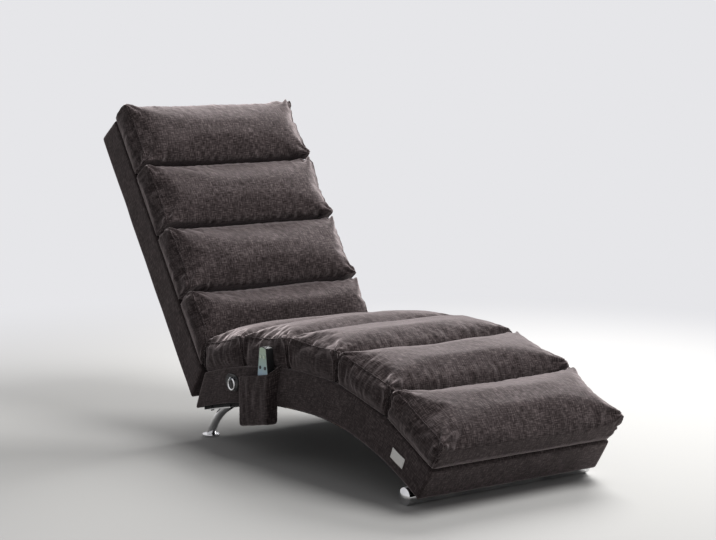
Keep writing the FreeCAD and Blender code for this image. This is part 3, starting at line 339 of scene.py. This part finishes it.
def block(counts):
    """Grid over the surface of a unit block: points from 0 to 1 each way, and faces that look outward."""
    index = {}
    points = []

    def at(*key):
        if key not in index:
            index[key] = len(points)
            points.append([k / n for k, n in zip(key, counts)])
        return index[key]

    faces = []
    for axis in range(3):
        first, second = (axis + 1) % 3, (axis + 2) % 3
        for i in range(counts[first]):
            for j in range(counts[second]):
                for level in (0, counts[axis]):
                    ring = []
                    for step_i, step_j in ((0, 0), (1, 0), (1, 1), (0, 1)):
                        key = [0, 0, 0]
                        key[axis], key[first], key[second] = level, i + step_i, j + step_j
                        ring.append(at(*key))
                    faces.append(ring if level else ring[::-1])
    return np.array(points), faces


ON_FACE = 0.4999


def laid_flat(share, size):
    """Where each point of a block's cover lies on the flat cloth: the top as it is, its sides folded out."""
    place = share * size
    fallen = size[2] - place[:, 2]
    on_end = np.abs(share[:, 1] - 0.5) > ON_FACE
    on_side = ~on_end & (np.abs(share[:, 0] - 0.5) > ON_FACE)
    across = place[:, 0] + on_side * np.sign(share[:, 0] - 0.5) * fallen
    along = place[:, 1] + on_end * np.sign(share[:, 1] - 0.5) * fallen
    return np.stack([across, along, np.zeros(len(share))], 1)


def rounded(share, size, low, high):
    """Points of a unit block as a box of that size, corner at the origin, with edges rounded by the radii
    on its low and high sides along X, Y and Z."""
    size, low, high = (np.array(values, dtype=float) for values in (size, low, high))
    place = share * size
    inner = np.clip(place, low, size - high)
    radius = np.maximum(np.where(share < 0.5, low, high), TINY)
    away = (place - inner) / radius
    length = np.linalg.norm(away, axis=1, keepdims=True)
    return inner + away / np.maximum(length, 1) * radius


def waves(points, grain, seed):
    """Smooth noise from about -1 to 1 at each point, with its grain that long along X, Y and Z."""
    start = np.array((seed, 2.3 * seed, -seed))
    return np.array([noise.noise(place) for place in (points / np.array(grain) + start).tolist()])


def fade(distance, near, far):
    """1 up to near, falling smoothly to 0 at far."""
    share = np.clip((far - distance) / (far - near), 0, 1)
    return share * share * (3 - 2 * share)


def surface(piece):
    """Points and normals of an object's mesh, as arrays."""
    points = np.empty(len(piece.data.vertices) * 3)
    normals = np.empty_like(points)
    piece.data.vertices.foreach_get("co", points)
    piece.data.vertex_normals.foreach_get("vector", normals)
    return points.reshape(-1, 3), normals.reshape(-1, 3)


def reshape(piece, points):
    """Moves an object's mesh to these points."""
    piece.data.vertices.foreach_set("co", points.ravel())
    piece.data.update()


def settle(piece):
    """Makes an object's modifiers part of its mesh."""
    made = bpy.data.meshes.new_from_object(piece.evaluated_get(bpy.context.evaluated_depsgraph_get()))
    piece.modifiers.clear()
    piece.data = made
    made.shade_smooth()


def subdivide(piece):
    """Rounds a mesh once. The points that it had come first, in their order."""
    rounding = piece.modifiers.new("rounding", "SUBSURF")
    rounding.levels = rounding.render_levels = 1
    settle(piece)


def moved(points, matrix):
    """Points through a matrix, as arrays."""
    matrix = np.array(matrix)
    return points @ matrix[:3, :3].T + matrix[:3, 3]


def dress(piece, body, slot, *replaced):
    """Hangs a piece on its body and lets it stand for the solids that it covers. Its slot is not used."""
    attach(piece, body)
    if replaced:
        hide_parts(*replaced)


def tube(faces, first, rings, sides):
    """Adds the faces of a closed tube whose rings of points start at first."""
    for ring in range(rings - 1):
        for turn in range(sides):
            a = first + ring * sides + turn
            b = first + ring * sides + (turn + 1) % sides
            faces.append((a, b, b + sides, a + sides))
    last = first + (rings - 1) * sides
    faces.append([first + turn for turn in range(sides)][::-1])
    faces.append([last + turn for turn in range(sides)])


THREAD_LONG = 3.6 * MM
THREAD_THICK = 0.45 * MM
THREAD_PITCH = 5.4 * MM
THREAD_SIDES = 6
# Places along a thread, and its girth there
THREAD_FORM = ((-0.5, 0.25), (-0.2, 1), (0.2, 1), (0.5, 0.25))


def sew(name, body, slot, finish, lines, out):
    """Stitches along straight lines on a face: short threads, fat in the middle."""
    points = []
    faces = []
    out = Vector(out)
    for start, end in lines:
        start, end = Vector(start), Vector(end)
        way = (end - start).normalized()
        aside = way.cross(out)
        count = int((end - start).length / THREAD_PITCH)
        for number in range(count):
            middle = start + (end - start) * (number + 0.5) / count
            first = len(points)
            for along, girth in THREAD_FORM:
                for turn in range(THREAD_SIDES):
                    angle = turn * 2 * math.pi / THREAD_SIDES
                    reach = aside * math.cos(angle) + out * math.sin(angle)
                    points.append(middle + way * along * THREAD_LONG + reach * girth * THREAD_THICK)
            tube(faces, first, len(THREAD_FORM), THREAD_SIDES)
    dress(new_piece(name, points, faces, finish), body, slot)


# Seat base and its curves


def drop(x, radii):
    """How far a seat curve has fallen at x from the apex."""
    radius = np.where(x < 0, radii[0], radii[1])
    return radius - np.sqrt(radius ** 2 - x ** 2)


def seat_angle(length):
    """How far the seat's top leans at a length along it from the apex."""
    return length / (TOP_RADII[0] if length < 0 else TOP_RADII[1])


def seat_point(length):
    """Point on the seat's top at a length along it from the apex."""
    radius = TOP_RADII[0] if length < 0 else TOP_RADII[1]
    angle = length / radius
    return Vector((APEX_X + radius * math.sin(angle), MIDDLE_Y, APEX_TOP - radius * (1 - math.cos(angle))))


SLAB_STEP = 8 * MM
SLAB_ROUND = 4 * MM
SLACK_GRAIN = (60 * MM, 60 * MM, 110 * MM)
SLACK_DEEP = 1.3 * MM
SLACK_BELOW = 0.4
SEAT_SLACK_SEED = 3.0
BACK_SLACK_SEED = 7.0
CORNER_TRIES = 40


def slacken(piece, seed):
    """Lets a fitted cover dip in here and there, never out, where it isn't pulled tight."""
    points, normals = surface(piece)
    dip = np.clip(waves(points, SLACK_GRAIN, seed) - SLACK_BELOW, -1, 0) * SLACK_DEEP
    reshape(piece, points + normals * dip[:, None])


def seat_end(reach, lean):
    """X of the seat's lower corner, from the apex, where its leaning end meets the underside."""
    corner = APEX_TOP - float(drop(np.array(reach), TOP_RADII))
    x = reach
    for _ in range(CORNER_TRIES):
        under = APEX_UNDER - float(drop(np.array(x), UNDER_RADII))
        x = reach + (under - corner) * math.tan(lean)
    return x


def make_seat_slab():
    """The arched seat base in its fitted cover, between its two curves and leaning ends."""
    size = np.array((SEAT_REACH[1] - SEAT_REACH[0], WIDTH, SEAT_THICK))
    share, faces = block([round(side / SLAB_STEP) for side in size])
    cloth = laid_flat(share, size)
    share = rounded(share, size, [SLAB_ROUND] * 3, [SLAB_ROUND] * 3) / size
    under_ends = [seat_end(*end) for end in zip(SEAT_REACH, (REAR_LEAN, FRONT_LEAN))]
    top_x = SEAT_REACH[0] + size[0] * share[:, 0]
    under_x = under_ends[0] + (under_ends[1] - under_ends[0]) * share[:, 0]
    high = np.stack([APEX_X + top_x, APEX_TOP - drop(top_x, TOP_RADII)], 1)
    low = np.stack([APEX_X + under_x, APEX_UNDER - drop(under_x, UNDER_RADII)], 1)
    side = low + (high - low) * share[:, 2:3]
    points = np.stack([side[:, 0], seat_low.y + WIDTH * share[:, 1], side[:, 1]], 1)
    piece = new_piece("seat_upholstery", points, faces, CHENILLE, cloth)
    subdivide(piece)
    slacken(piece, SEAT_SLACK_SEED)
    dress(piece, "seat", "upholstery_fabric", "seat_cover")


def back_matrix():
    """From the upright back, X out of its front and Z up its length, to its place."""
    turn = Matrix.Rotation(-RECLINE_REST, 4, "Y")
    return Matrix.Translation(Vector((AXIS.x, MIDDLE_Y, AXIS.z))) @ turn


def back_end(out):
    """Where the back's sloping foot lies, that far out of its front."""
    return BACK_END_GAP + out * math.tan(BACK_END_SLOPE)


def make_back_slab():
    """The back in its fitted cover."""
    size = np.array((BACK_FRONT - BACK_REAR, WIDTH, BACK_LENGTH))
    share, faces = block([round(side / SLAB_STEP) for side in size])
    cloth = laid_flat(share[:, ::-1], size[::-1])
    share = rounded(share, size, [SLAB_ROUND] * 3, [SLAB_ROUND] * 3) / size
    out = BACK_REAR + size[0] * share[:, 0]
    foot = back_end(out)
    points = np.stack([out, WIDTH * (share[:, 1] - 0.5), foot + (BACK_LENGTH - foot) * share[:, 2]], 1)
    piece = new_piece("back_upholstery", moved(points, back_matrix()), faces, CHENILLE, cloth)
    subdivide(piece)
    slacken(piece, BACK_SLACK_SEED)
    dress(piece, "backrest", "upholstery_fabric", "back_cover", "back_rear_panel")


# Bolsters

# A cover's first form, before it is blown up: radii of its grooves' edges, rear and front or low and high
BOLSTER_MARGIN = 1 * MM
END_ROUND = 6 * MM
SEAT_ROUND = (22 * MM, 20 * MM)
BACK_ROUND = (20 * MM, 13 * MM)
UNEVEN = 0.25 * MM

# Cloth: held along its base, with extra cloth at its ends, and how far it may swell and bulge
PINNED_TO = 0.05
GATHERED_FROM = 0.46
GATHER = -0.075
CLOTH_MASS = 0.25
TENSION = 50
BENDING = 0.4
PRESSURE = 1.5
SIM_FRAMES = 20
SIM_QUALITY = 5
SWELL_MOST = 28 * MM
END_BULGE = 9 * MM

# Stuffing that sags towards one groove
SEAT_SAG = 6 * MM
BACK_SAG = 10 * MM
SAG_POWER = 1.5

# Gathers from the ends, in patches, tucks from the grooves, and uneven stuffing
GATHER_GRAIN = (13 * MM, 110 * MM, 110 * MM)
GATHER_HIGH = 5.0 * MM
END_FADE = (4 * MM, 80 * MM)
PATCH_GRAIN = (60 * MM, 400 * MM, 60 * MM)
PATCH_RAISE = 0.35
PATCH_LEAST = 0.1
TUCK_GRAIN = (90 * MM, 15 * MM, 60 * MM)
TUCK_HIGH = 2.2 * MM
GROOVE_FADE = (2 * MM, 48 * MM)
STUFFING_GRAIN = (85 * MM, 110 * MM, 85 * MM)
STUFFING_HIGH = 2.6 * MM

# Folds that fan out of each upper corner, and the corner pulled out to an ear
CORNER_HIGH = 0.8
FOLDS = 10
FOLD_HIGH = 4.0 * MM
FOLD_FROM = 10 * MM
FOLD_REACH = 85 * MM
FOLD_BARE = (2 * MM, 22 * MM)
EAR = 6 * MM
EAR_REACH = 50 * MM
EAR_RISE = 0.3

# Foot, drawn in and sunk into the slab's cover by its seam
FOOT_FADE = (2 * MM, 18 * MM)
DRAWN_IN = 4 * MM
DRAWN_HIGH = 18 * MM
SUNK = 3 * MM

# Corded seams
WELT_RADIUS = 1.5 * MM
WELT_SIDES = 6


def inflate(name, points, faces, pinned, gathered):
    """Blows a sewn cover up with air, held along its base, with extra cloth gathered where asked for."""
    piece = new_piece(name, points, faces, CHENILLE)
    pins = piece.vertex_groups.new(name="pins")
    pins.add([int(i) for i in np.flatnonzero(pinned)], 1.0, "REPLACE")
    gathers = piece.vertex_groups.new(name="gathers")
    gathers.add([int(i) for i in np.flatnonzero(gathered)], 1.0, "REPLACE")
    cloth = piece.modifiers.new("cloth", "CLOTH")
    settings = cloth.settings
    settings.quality = SIM_QUALITY
    settings.mass = CLOTH_MASS
    settings.tension_stiffness = TENSION
    settings.compression_stiffness = TENSION / 2
    settings.shear_stiffness = TENSION / 3
    settings.bending_stiffness = BENDING
    settings.use_pressure = True
    settings.uniform_pressure_force = PRESSURE
    settings.shrink_min = 0
    settings.shrink_max = GATHER
    settings.vertex_group_shrink = "gathers"
    settings.vertex_group_mass = "pins"
    settings.effector_weights.gravity = 0
    cloth.collision_settings.use_collision = False
    for number in range(1, SIM_FRAMES + 1):
        bpy.context.scene.frame_set(number)
    settle(piece)
    swollen, _ = surface(piece)
    bpy.context.scene.frame_set(1)
    bpy.data.objects.remove(piece)
    gone = swollen - points
    length = np.linalg.norm(gone, axis=1, keepdims=True)
    return points + gone * np.minimum(1, SWELL_MOST / np.maximum(length, TINY))


def pleat(points, normals, pitch, seed):
    """Gathers run in from a bolster's ends, small tucks from its grooves, and its stuffing lies unevenly."""
    near_end = fade(WIDTH / 2 - np.abs(points[:, 1]), *END_FADE)
    near_groove = fade(pitch / 2 - np.abs(points[:, 0]), *GROOVE_FADE)
    patches = np.clip(waves(points, PATCH_GRAIN, seed + 3) + PATCH_RAISE, PATCH_LEAST, 1)
    lift = GATHER_HIGH * near_end * patches * waves(points, GATHER_GRAIN, seed)
    lift += TUCK_HIGH * near_groove * waves(points, TUCK_GRAIN, seed + 1)
    lift += STUFFING_HIGH * waves(points, STUFFING_GRAIN, seed + 2)
    pulled = np.zeros_like(points)
    for along in (-1, 1):
        for across in (-1, 1):
            corner = np.array((across * pitch / 2, along * WIDTH / 2, CORNER_HIGH * COVER_HIGH))
            away = points - corner
            distance = np.linalg.norm(away, axis=1)
            angle = np.arctan2(-along * away[:, 1], -across * away[:, 0])
            folds = fade(distance, FOLD_FROM, FOLD_REACH) * (1 - fade(distance, *FOLD_BARE))
            lift += FOLD_HIGH * folds * np.sin(FOLDS * angle + seed + along)
            out = np.array((across, along, EAR_RISE))
            pulled += np.outer(EAR * fade(distance, 0, EAR_REACH) ** 2, out / np.linalg.norm(out))
    foot = 1 - fade(points[:, 2], *FOOT_FADE)
    return points + normals * (lift * foot)[:, None] + pulled * foot[:, None]


def draw_in(points, size):
    """Pulls a bolster's foot in under it, as its seam to the slab does."""
    share = DRAWN_IN * fade(points[:, 2], 0, DRAWN_HIGH)
    for axis in (0, 1):
        near = 1 - fade(np.abs(points[:, axis]), size[axis] / 2 - 4 * DRAWN_IN, size[axis] / 2)
        points[:, axis] -= np.sign(points[:, axis]) * near * share


def make_welts(name, body, share, points):
    """Corded seams round both ends of a bolster, from its foot over its crown and down again."""
    cords = []
    faces = []
    for end in (0, 1):
        on_end = np.abs(share[:, 1] - end) < SAME
        rear, front, top = (on_end & (np.abs(share[:, axis] - level) < SAME)
                            for axis, level in ((0, 0), (0, 1), (2, 1)))
        order = sorted(np.flatnonzero(rear), key=lambda i: share[i, 2])
        order += sorted(np.flatnonzero(top & ~rear & ~front), key=lambda i: share[i, 0])
        order += sorted(np.flatnonzero(front), key=lambda i: -share[i, 2])
        path = points[order]
        ways = np.gradient(path, axis=0)
        ways /= np.linalg.norm(ways, axis=1, keepdims=True)
        aside = np.cross(ways, (0, 1, 0))
        aside /= np.maximum(np.linalg.norm(aside, axis=1, keepdims=True), TINY)
        upward = np.cross(aside, ways)
        first = len(cords)
        for place, a, b in zip(path, aside, upward):
            for turn in range(WELT_SIDES):
                angle = turn * 2 * math.pi / WELT_SIDES
                cords.append(place + (a * math.cos(angle) + b * math.sin(angle)) * WELT_RADIUS)
        tube(faces, first, len(path), WELT_SIDES)
    cords = np.array(cords)
    piece = new_piece(name, cords, faces, CHENILLE, cords[:, [0, 2, 1]])
    dress(piece, body, "upholstery_fabric")


def make_bolster(bolster, body, matrix, pitch, turns, rounding, sag, seed, limit=None):
    """One sewn cushion in its own frame: X across the grooves, Y along the width, Z off the slab."""
    name = bolster.replace("bolster", "cushion")
    size = np.array((pitch - 2 * BOLSTER_MARGIN, WIDTH, COVER_HIGH))
    share, faces = block([round(side / BOLSTER_STEP) for side in size])
    low, high = rounding
    points = rounded(share, size, (low, END_ROUND, 0), (high, END_ROUND, min(rounding)))
    points -= (size[0] / 2, size[1] / 2, 0)
    lean = np.where(points[:, 0] < 0, *[math.tan(turn) for turn in turns])
    points[:, 0] += points[:, 2] * lean * points[:, 0] / (size[0] / 2)
    points += np.random.default_rng(seed).normal(0, UNEVEN, points.shape)
    ends = np.abs(share[:, 1] - 0.5) > GATHERED_FROM
    points = inflate(name, points, faces, share[:, 2] < PINNED_TO, ends)
    points[:, 0] += sag * (np.maximum(points[:, 2], 0) / COVER_HIGH) ** SAG_POWER
    piece = new_piece(name, points, faces, CHENILLE, laid_flat(share, size) + (seed, 0, 0))
    subdivide(piece)
    points = pleat(*surface(piece), pitch, seed)
    draw_in(points, size)
    for sign, turn in zip((-1, 1), turns):
        room = pitch / 2 - BOLSTER_GAP + points[:, 2] * math.tan(turn)
        points[:, 0] = sign * np.minimum(sign * points[:, 0], room)
    reach = WIDTH / 2 + END_BULGE
    points[:, 1] = np.clip(points[:, 1], -reach, reach)
    points[:, 2] = np.maximum(points[:, 2], 0) - SUNK * fade(points[:, 2], 0, DRAWN_HIGH)
    points = moved(points, matrix)
    if limit is not None:
        points = limit(points)
    reshape(piece, points)
    dress(piece, body, "upholstery_fabric", bolster)
    make_welts(name + "_welts", body, share, points[:len(share)])


REAR_CORNER = Vector((APEX_X + SEAT_REACH[0], 0, APEX_TOP - float(drop(np.array(SEAT_REACH[0]), TOP_RADII))))
SEAT_EASE = 6 * MM
BACK_EASE = 34 * MM
DIVIDE_OUT = np.array((math.cos(DIVIDE_LEAN), 0, -math.sin(DIVIDE_LEAN)))


def beyond_divide(sign, soft):
    """Keeps points on one side of the leaning plane between the seat's rear bolster and the back's
    lowest one, and eases those within a soft distance of it."""
    def limit(points):
        away = sign * ((points - np.array(REAR_CORNER)) @ DIVIDE_OUT)
        eased = BOLSTER_GAP + soft * np.exp(np.minimum((away - BOLSTER_GAP) / soft - 1, 0))
        short = np.where(away < soft, away - eased, 0)
        return points - np.outer(sign * short, DIVIDE_OUT)
    return limit


HANDSET_CLEAR = 2.2 * MM
HANDSET_DENT = (3 * MM, 28 * MM)


def clear_handset(points):
    """Presses a cushion's end in where the handset stands against it and slides up."""
    low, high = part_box("handset_case")
    aside = np.maximum(np.maximum(low.x - points[:, 0], points[:, 0] - high.x), 0)
    furthest = high.y + HANDSET_CLEAR - 2 * END_BULGE * (1 - fade(aside, *HANDSET_DENT))
    return np.stack([points[:, 0], np.maximum(points[:, 1], furthest), points[:, 2]], 1)


# Where the noise and the draws of the seat's and the back's cushions start
SEAT_SEED = 11
BACK_SEED = 31


def make_seat_bolsters():
    """Five cushions along the seat's arched top, from the rear to the front."""
    ends = [radius * math.asin(reach / radius) for radius, reach in zip(TOP_RADII, SEAT_REACH)]
    pitch = (ends[1] - ends[0]) / SEAT_BOLSTERS
    for index in range(SEAT_BOLSTERS):
        start = ends[0] + index * pitch
        middle = start + pitch / 2
        turn = seat_angle(middle)
        matrix = Matrix.Translation(seat_point(middle)) @ Matrix.Rotation(turn, 4, "Y")
        turns = [abs(seat_angle(length) - turn) for length in (start, start + pitch)]
        limit = beyond_divide(1, SEAT_EASE) if index == 0 else clear_handset
        name = "seat_bolster_%d" % (index + 1)
        make_bolster(name, "seat", matrix, pitch, turns, SEAT_ROUND, SEAT_SAG, SEAT_SEED + index, limit)


def make_back_bolsters():
    """Four cushions down the back's front, from the head to the seat."""
    foot = back_end(BACK_FRONT) + BACK_BOLSTER_FOOT
    pitch = (BACK_BOLSTER_TOP - foot) / BACK_BOLSTERS
    for index in range(BACK_BOLSTERS):
        middle = BACK_BOLSTER_TOP - (index + 0.5) * pitch
        home = Matrix.Translation((BACK_FRONT, 0, middle)) @ Matrix.Rotation(math.radians(90), 4, "Y")
        limit = beyond_divide(-1, BACK_EASE) if index == BACK_BOLSTERS - 1 else None
        name = "back_bolster_%d" % (index + 1)
        place = back_matrix() @ home
        make_bolster(name, "backrest", place, pitch, (0, 0), BACK_ROUND, BACK_SAG, BACK_SEED + index, limit)


# Pocket and tag

# The bag's edges, and how far its back rises and flares past its front at the right
POUCH_STEP = 5 * MM
POUCH_SIDE_ROUND = 5 * MM
POUCH_FRONT_ROUND = 4 * MM
POUCH_LOW_ROUND = 10 * MM
POUCH_PROUD = 1.5 * MM
POUCH_RISE = 20 * MM
POUCH_FLARE = 18 * MM
POUCH_CLOTH = 2.2 * MM

# Its hem, and its front's slack
HEM_TALL = 12 * MM
HEM_PROUD = 0.9 * MM
POUCH_GRAIN = (20 * MM, 40 * MM, 60 * MM)
POUCH_SLACK = 2.4 * MM
POUCH_RAISE = 0.3
POUCH_LEAST = -0.2
POUCH_SEED = 5.0
HEM_THREAD_OUT = 0.6

# Its place on the slab's side
POCKET_X = APEX_X + SEAT_REACH[0] + POCKET_FROM_REAR
POCKET_TOP = float(APEX_TOP - drop(np.array(POCKET_X - APEX_X), TOP_RADII)) - POCKET_DROP
SIDE_Y = seat_low.y - SIDE_STANDOFF


def make_pouch():
    """A sewn bag with an open slanting mouth: its front hangs lower than its sewn back."""
    size = np.array((POCKET_TOP_WIDE, POCKET_DEPTH, POCKET_TALL + POUCH_PROUD))
    share, faces = block([round(side / POUCH_STEP) for side in size])
    faces = [face for face in faces if min(share[i][2] for i in face) < 1]
    cloth = laid_flat(share[:, [0, 2, 1]], size[[0, 2, 1]])
    low = (POUCH_SIDE_ROUND, 0, POUCH_LOW_ROUND)
    place = rounded(share, size, low, (POUCH_SIDE_ROUND, POUCH_FRONT_ROUND, 0))
    tall = place[:, 2] / size[2]
    narrow = POCKET_LOW_WIDE / POCKET_TOP_WIDE
    across = (place[:, 0] - size[0] / 2) * (narrow + (1 - narrow) * tall)
    behind = 1 - place[:, 1] / size[1]
    right = np.clip(across / size[0] + 0.5, 0, 1)
    across = across + POUCH_FLARE * behind * tall ** 3 * right
    rise = place[:, 2] - POUCH_PROUD - POCKET_TALL + POUCH_RISE * behind * (tall * right) ** 2
    up = POCKET_TOP + rise + across * math.tan(POCKET_SLOPE)
    points = np.stack([POCKET_X + across, SIDE_Y - place[:, 1], up], 1)
    piece = new_piece("pocket_pouch", points, faces, CHENILLE, cloth)
    subdivide(piece)
    points, normals = surface(piece)
    front = np.clip((SIDE_Y - points[:, 1]) / POCKET_DEPTH * 2 - 1, 0, 1)
    below = POCKET_TOP + (points[:, 0] - POCKET_X) * math.tan(POCKET_SLOPE) - points[:, 2]
    slack = POUCH_SLACK * np.maximum(waves(points, POUCH_GRAIN, POUCH_SEED) + POUCH_RAISE, POUCH_LEAST)
    lift = front * (slack + HEM_PROUD * (below < HEM_TALL))
    reshape(piece, points + normals * lift[:, None])
    wall = piece.modifiers.new("cloth", "SOLIDIFY")
    wall.thickness = POUCH_CLOTH
    wall.offset = -1
    settle(piece)
    dress(piece, "seat", "upholstery_fabric", "side_pocket")
    line = []
    for side in (-1, 1):
        x = side * (POCKET_TOP_WIDE / 2 - POUCH_SIDE_ROUND)
        z = POCKET_TOP + x * math.tan(POCKET_SLOPE) - HEM_TALL - THREAD_LONG / 2
        line.append((POCKET_X + x, SIDE_Y - POCKET_DEPTH - POUCH_SLACK * HEM_THREAD_OUT, z))
    sew("pocket_hem_stitches", "seat", "upholstery_fabric", DARK_THREAD, [line], (0, -1, 0))


TAG_CLOTH = 0.5 * MM
TAG_STEP = 2 * MM
TAG_CURL = 0.8 * MM
TAG_SEAM_IN = 2.5 * MM
TAG_LOW_CURL = 0.4


def make_tag():
    """A woven tape sewn down along its two short ends, a little slack between them."""
    low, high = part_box("blank_tag")
    middle = (low + high) / 2
    turn = math.asin((SEAT_REACH[1] - TAG_FROM_FRONT) / TOP_RADII[1])
    matrix = Matrix.Translation((middle.x, SIDE_Y, middle.z)) @ Matrix.Rotation(turn, 4, "Y")
    columns, rows = round(TAG_LONG / TAG_STEP), round(TAG_TALL / TAG_STEP)
    points = []
    for row in range(rows + 1):
        for column in range(columns + 1):
            across, up = column / columns, row / rows
            slack = TAG_CURL * (TAG_LOW_CURL + (1 - TAG_LOW_CURL) * up) * math.sin(math.pi * across) ** 2
            points.append(((across - 0.5) * TAG_LONG, -TAG_CLOTH - slack, (up - 0.5) * TAG_TALL))
    faces = []
    for row in range(rows):
        for column in range(columns):
            a = row * (columns + 1) + column
            faces.append((a, a + 1, a + columns + 2, a + columns + 1))
    piece = new_piece("sewn_tag", moved(np.array(points), matrix), faces, FINISHES["tag_cloth"])
    wall = piece.modifiers.new("cloth", "SOLIDIFY")
    wall.thickness = TAG_CLOTH
    wall.offset = -1
    settle(piece)
    dress(piece, "seat", "tag_cloth", "blank_tag")
    lines = []
    for side in (-1, 1):
        ends = [(side * (TAG_LONG / 2 - TAG_SEAM_IN), -TAG_CLOTH, up * TAG_TALL / 2) for up in (-1, 1)]
        lines.append([matrix @ Vector(end) for end in ends])
    sew("tag_stitches", "seat", "tag_cloth", PALE_THREAD, lines, (0, -1, 0))


# Stage, light and camera

SEEN_RAYS = ("Is Camera Ray", "Is Glossy Ray", "Is Transmission Ray")
FLOOR_HALF = 40
FLOOR_COLOUR = "a3a2a0"
FLOOR_FADE = (0.9, 2.8)
BACKGROUND = "e6e6e9"
SKY_LEVEL = 0.34
# Lamps, in metres and watts
WINDOW_LAMP = {"place": (-1.4, 2.8, 2.7), "aim": (0, 0, 0.4), "power": 285, "size": 2.4}
OVERHEAD_LAMP = {"place": (1.5, 1.2, 3.3), "aim": (-0.1, 0, 0.4), "power": 138, "size": 2.0}


def seen(tree):
    """1 for rays that show the background to the camera, straight or by a reflection, and 0 for its light."""
    rays = add(tree, "ShaderNodeLightPath")
    either = rays.outputs[SEEN_RAYS[0]]
    for name in SEEN_RAYS[1:]:
        both = add(tree, "ShaderNodeMath", operation="MAXIMUM")
        tree.links.new(either, both.inputs[0])
        tree.links.new(rays.outputs[name], both.inputs[1])
        either = both.outputs["Value"]
    return either


def make_floor():
    """Plain pale floor that keeps the shadow near the chair and fades to the background far from it."""
    finish, tree, shader = material("pale_floor", Roughness=0.85, Specular_IOR_Level=0.2)
    shader.inputs["Base Color"].default_value = linear(FLOOR_COLOUR)
    place = add(tree, "ShaderNodeNewGeometry").outputs["Position"]
    away = add(tree, "ShaderNodeVectorMath", {0: place}, operation="LENGTH").outputs["Value"]
    far = add(tree, "ShaderNodeMapRange", {"Value": away}, interpolation_type="SMOOTHSTEP",
              From_Min=FLOOR_FADE[0], From_Max=FLOOR_FADE[1])
    share = add(tree, "ShaderNodeMath", {0: far.outputs["Result"], 1: seen(tree)}, operation="MULTIPLY")
    glow = add(tree, "ShaderNodeEmission", Color=linear(BACKGROUND), Strength=1.0)
    mixed = add(tree, "ShaderNodeMixShader", {0: share.outputs["Value"], 1: shader.outputs["BSDF"],
                                              2: glow.outputs["Emission"]})
    tree.links.new(mixed.outputs["Shader"], tree.nodes["Material Output"].inputs["Surface"])
    corners = [(x * FLOOR_HALF, y * FLOOR_HALF, 0) for x, y in ((-1, -1), (1, -1), (1, 1), (-1, 1))]
    new_piece("floor", corners, [(0, 1, 2, 3)], finish)


def make_sky():
    """Even light from all round, which shows as the plain background."""
    world = bpy.data.worlds.new("studio")
    world.use_nodes = True
    tree = world.node_tree
    sky = tree.nodes["Background"]
    sky.inputs["Color"].default_value = linear(BACKGROUND)
    level = add(tree, "ShaderNodeMapRange", {"Value": seen(tree)}, To_Min=SKY_LEVEL, To_Max=1.0)
    tree.links.new(level.outputs["Result"], sky.inputs["Strength"])
    bpy.context.scene.world = world


def make_lamp(name, place, aim, power, size):
    """A round soft lamp, aimed at a point."""
    lamp = bpy.data.lights.new(name, "AREA")
    lamp.energy = power
    lamp.shape = "DISK"
    lamp.size = size
    holder = bpy.data.objects.new(name, lamp)
    holder.location = place
    holder.rotation_euler = (Vector(aim) - Vector(place)).to_track_quat("-Z", "Y").to_euler()
    bpy.context.scene.collection.objects.link(holder)


def make_camera():
    """The camera that took the view, level from side to side."""
    camera = bpy.data.objects.new("camera", bpy.data.cameras.new("camera"))
    azimuth = math.radians(CAMERA_AZIMUTH)
    pitch = math.radians(CAMERA_PITCH)
    level = math.cos(pitch)
    way = Vector((-math.sin(azimuth) * level, math.cos(azimuth) * level, -math.sin(pitch)))
    camera.location = (CAMERA_AHEAD, MIDDLE_Y - CAMERA_ASIDE, CAMERA_HIGH)
    camera.rotation_euler = way.to_track_quat("-Z", "Y").to_euler()
    camera.data.lens = CAMERA_LENS
    bpy.context.scene.collection.objects.link(camera)
    bpy.context.scene.camera = camera


make_seat_slab()
make_back_slab()
make_seat_bolsters()
make_back_bolsters()
make_pouch()
make_tag()
make_floor()
make_sky()
make_lamp("window_lamp", **WINDOW_LAMP)
make_lamp("overhead_lamp", **OVERHEAD_LAMP)
make_camera()
bpy.context.scene.view_settings.view_transform = "Standard"
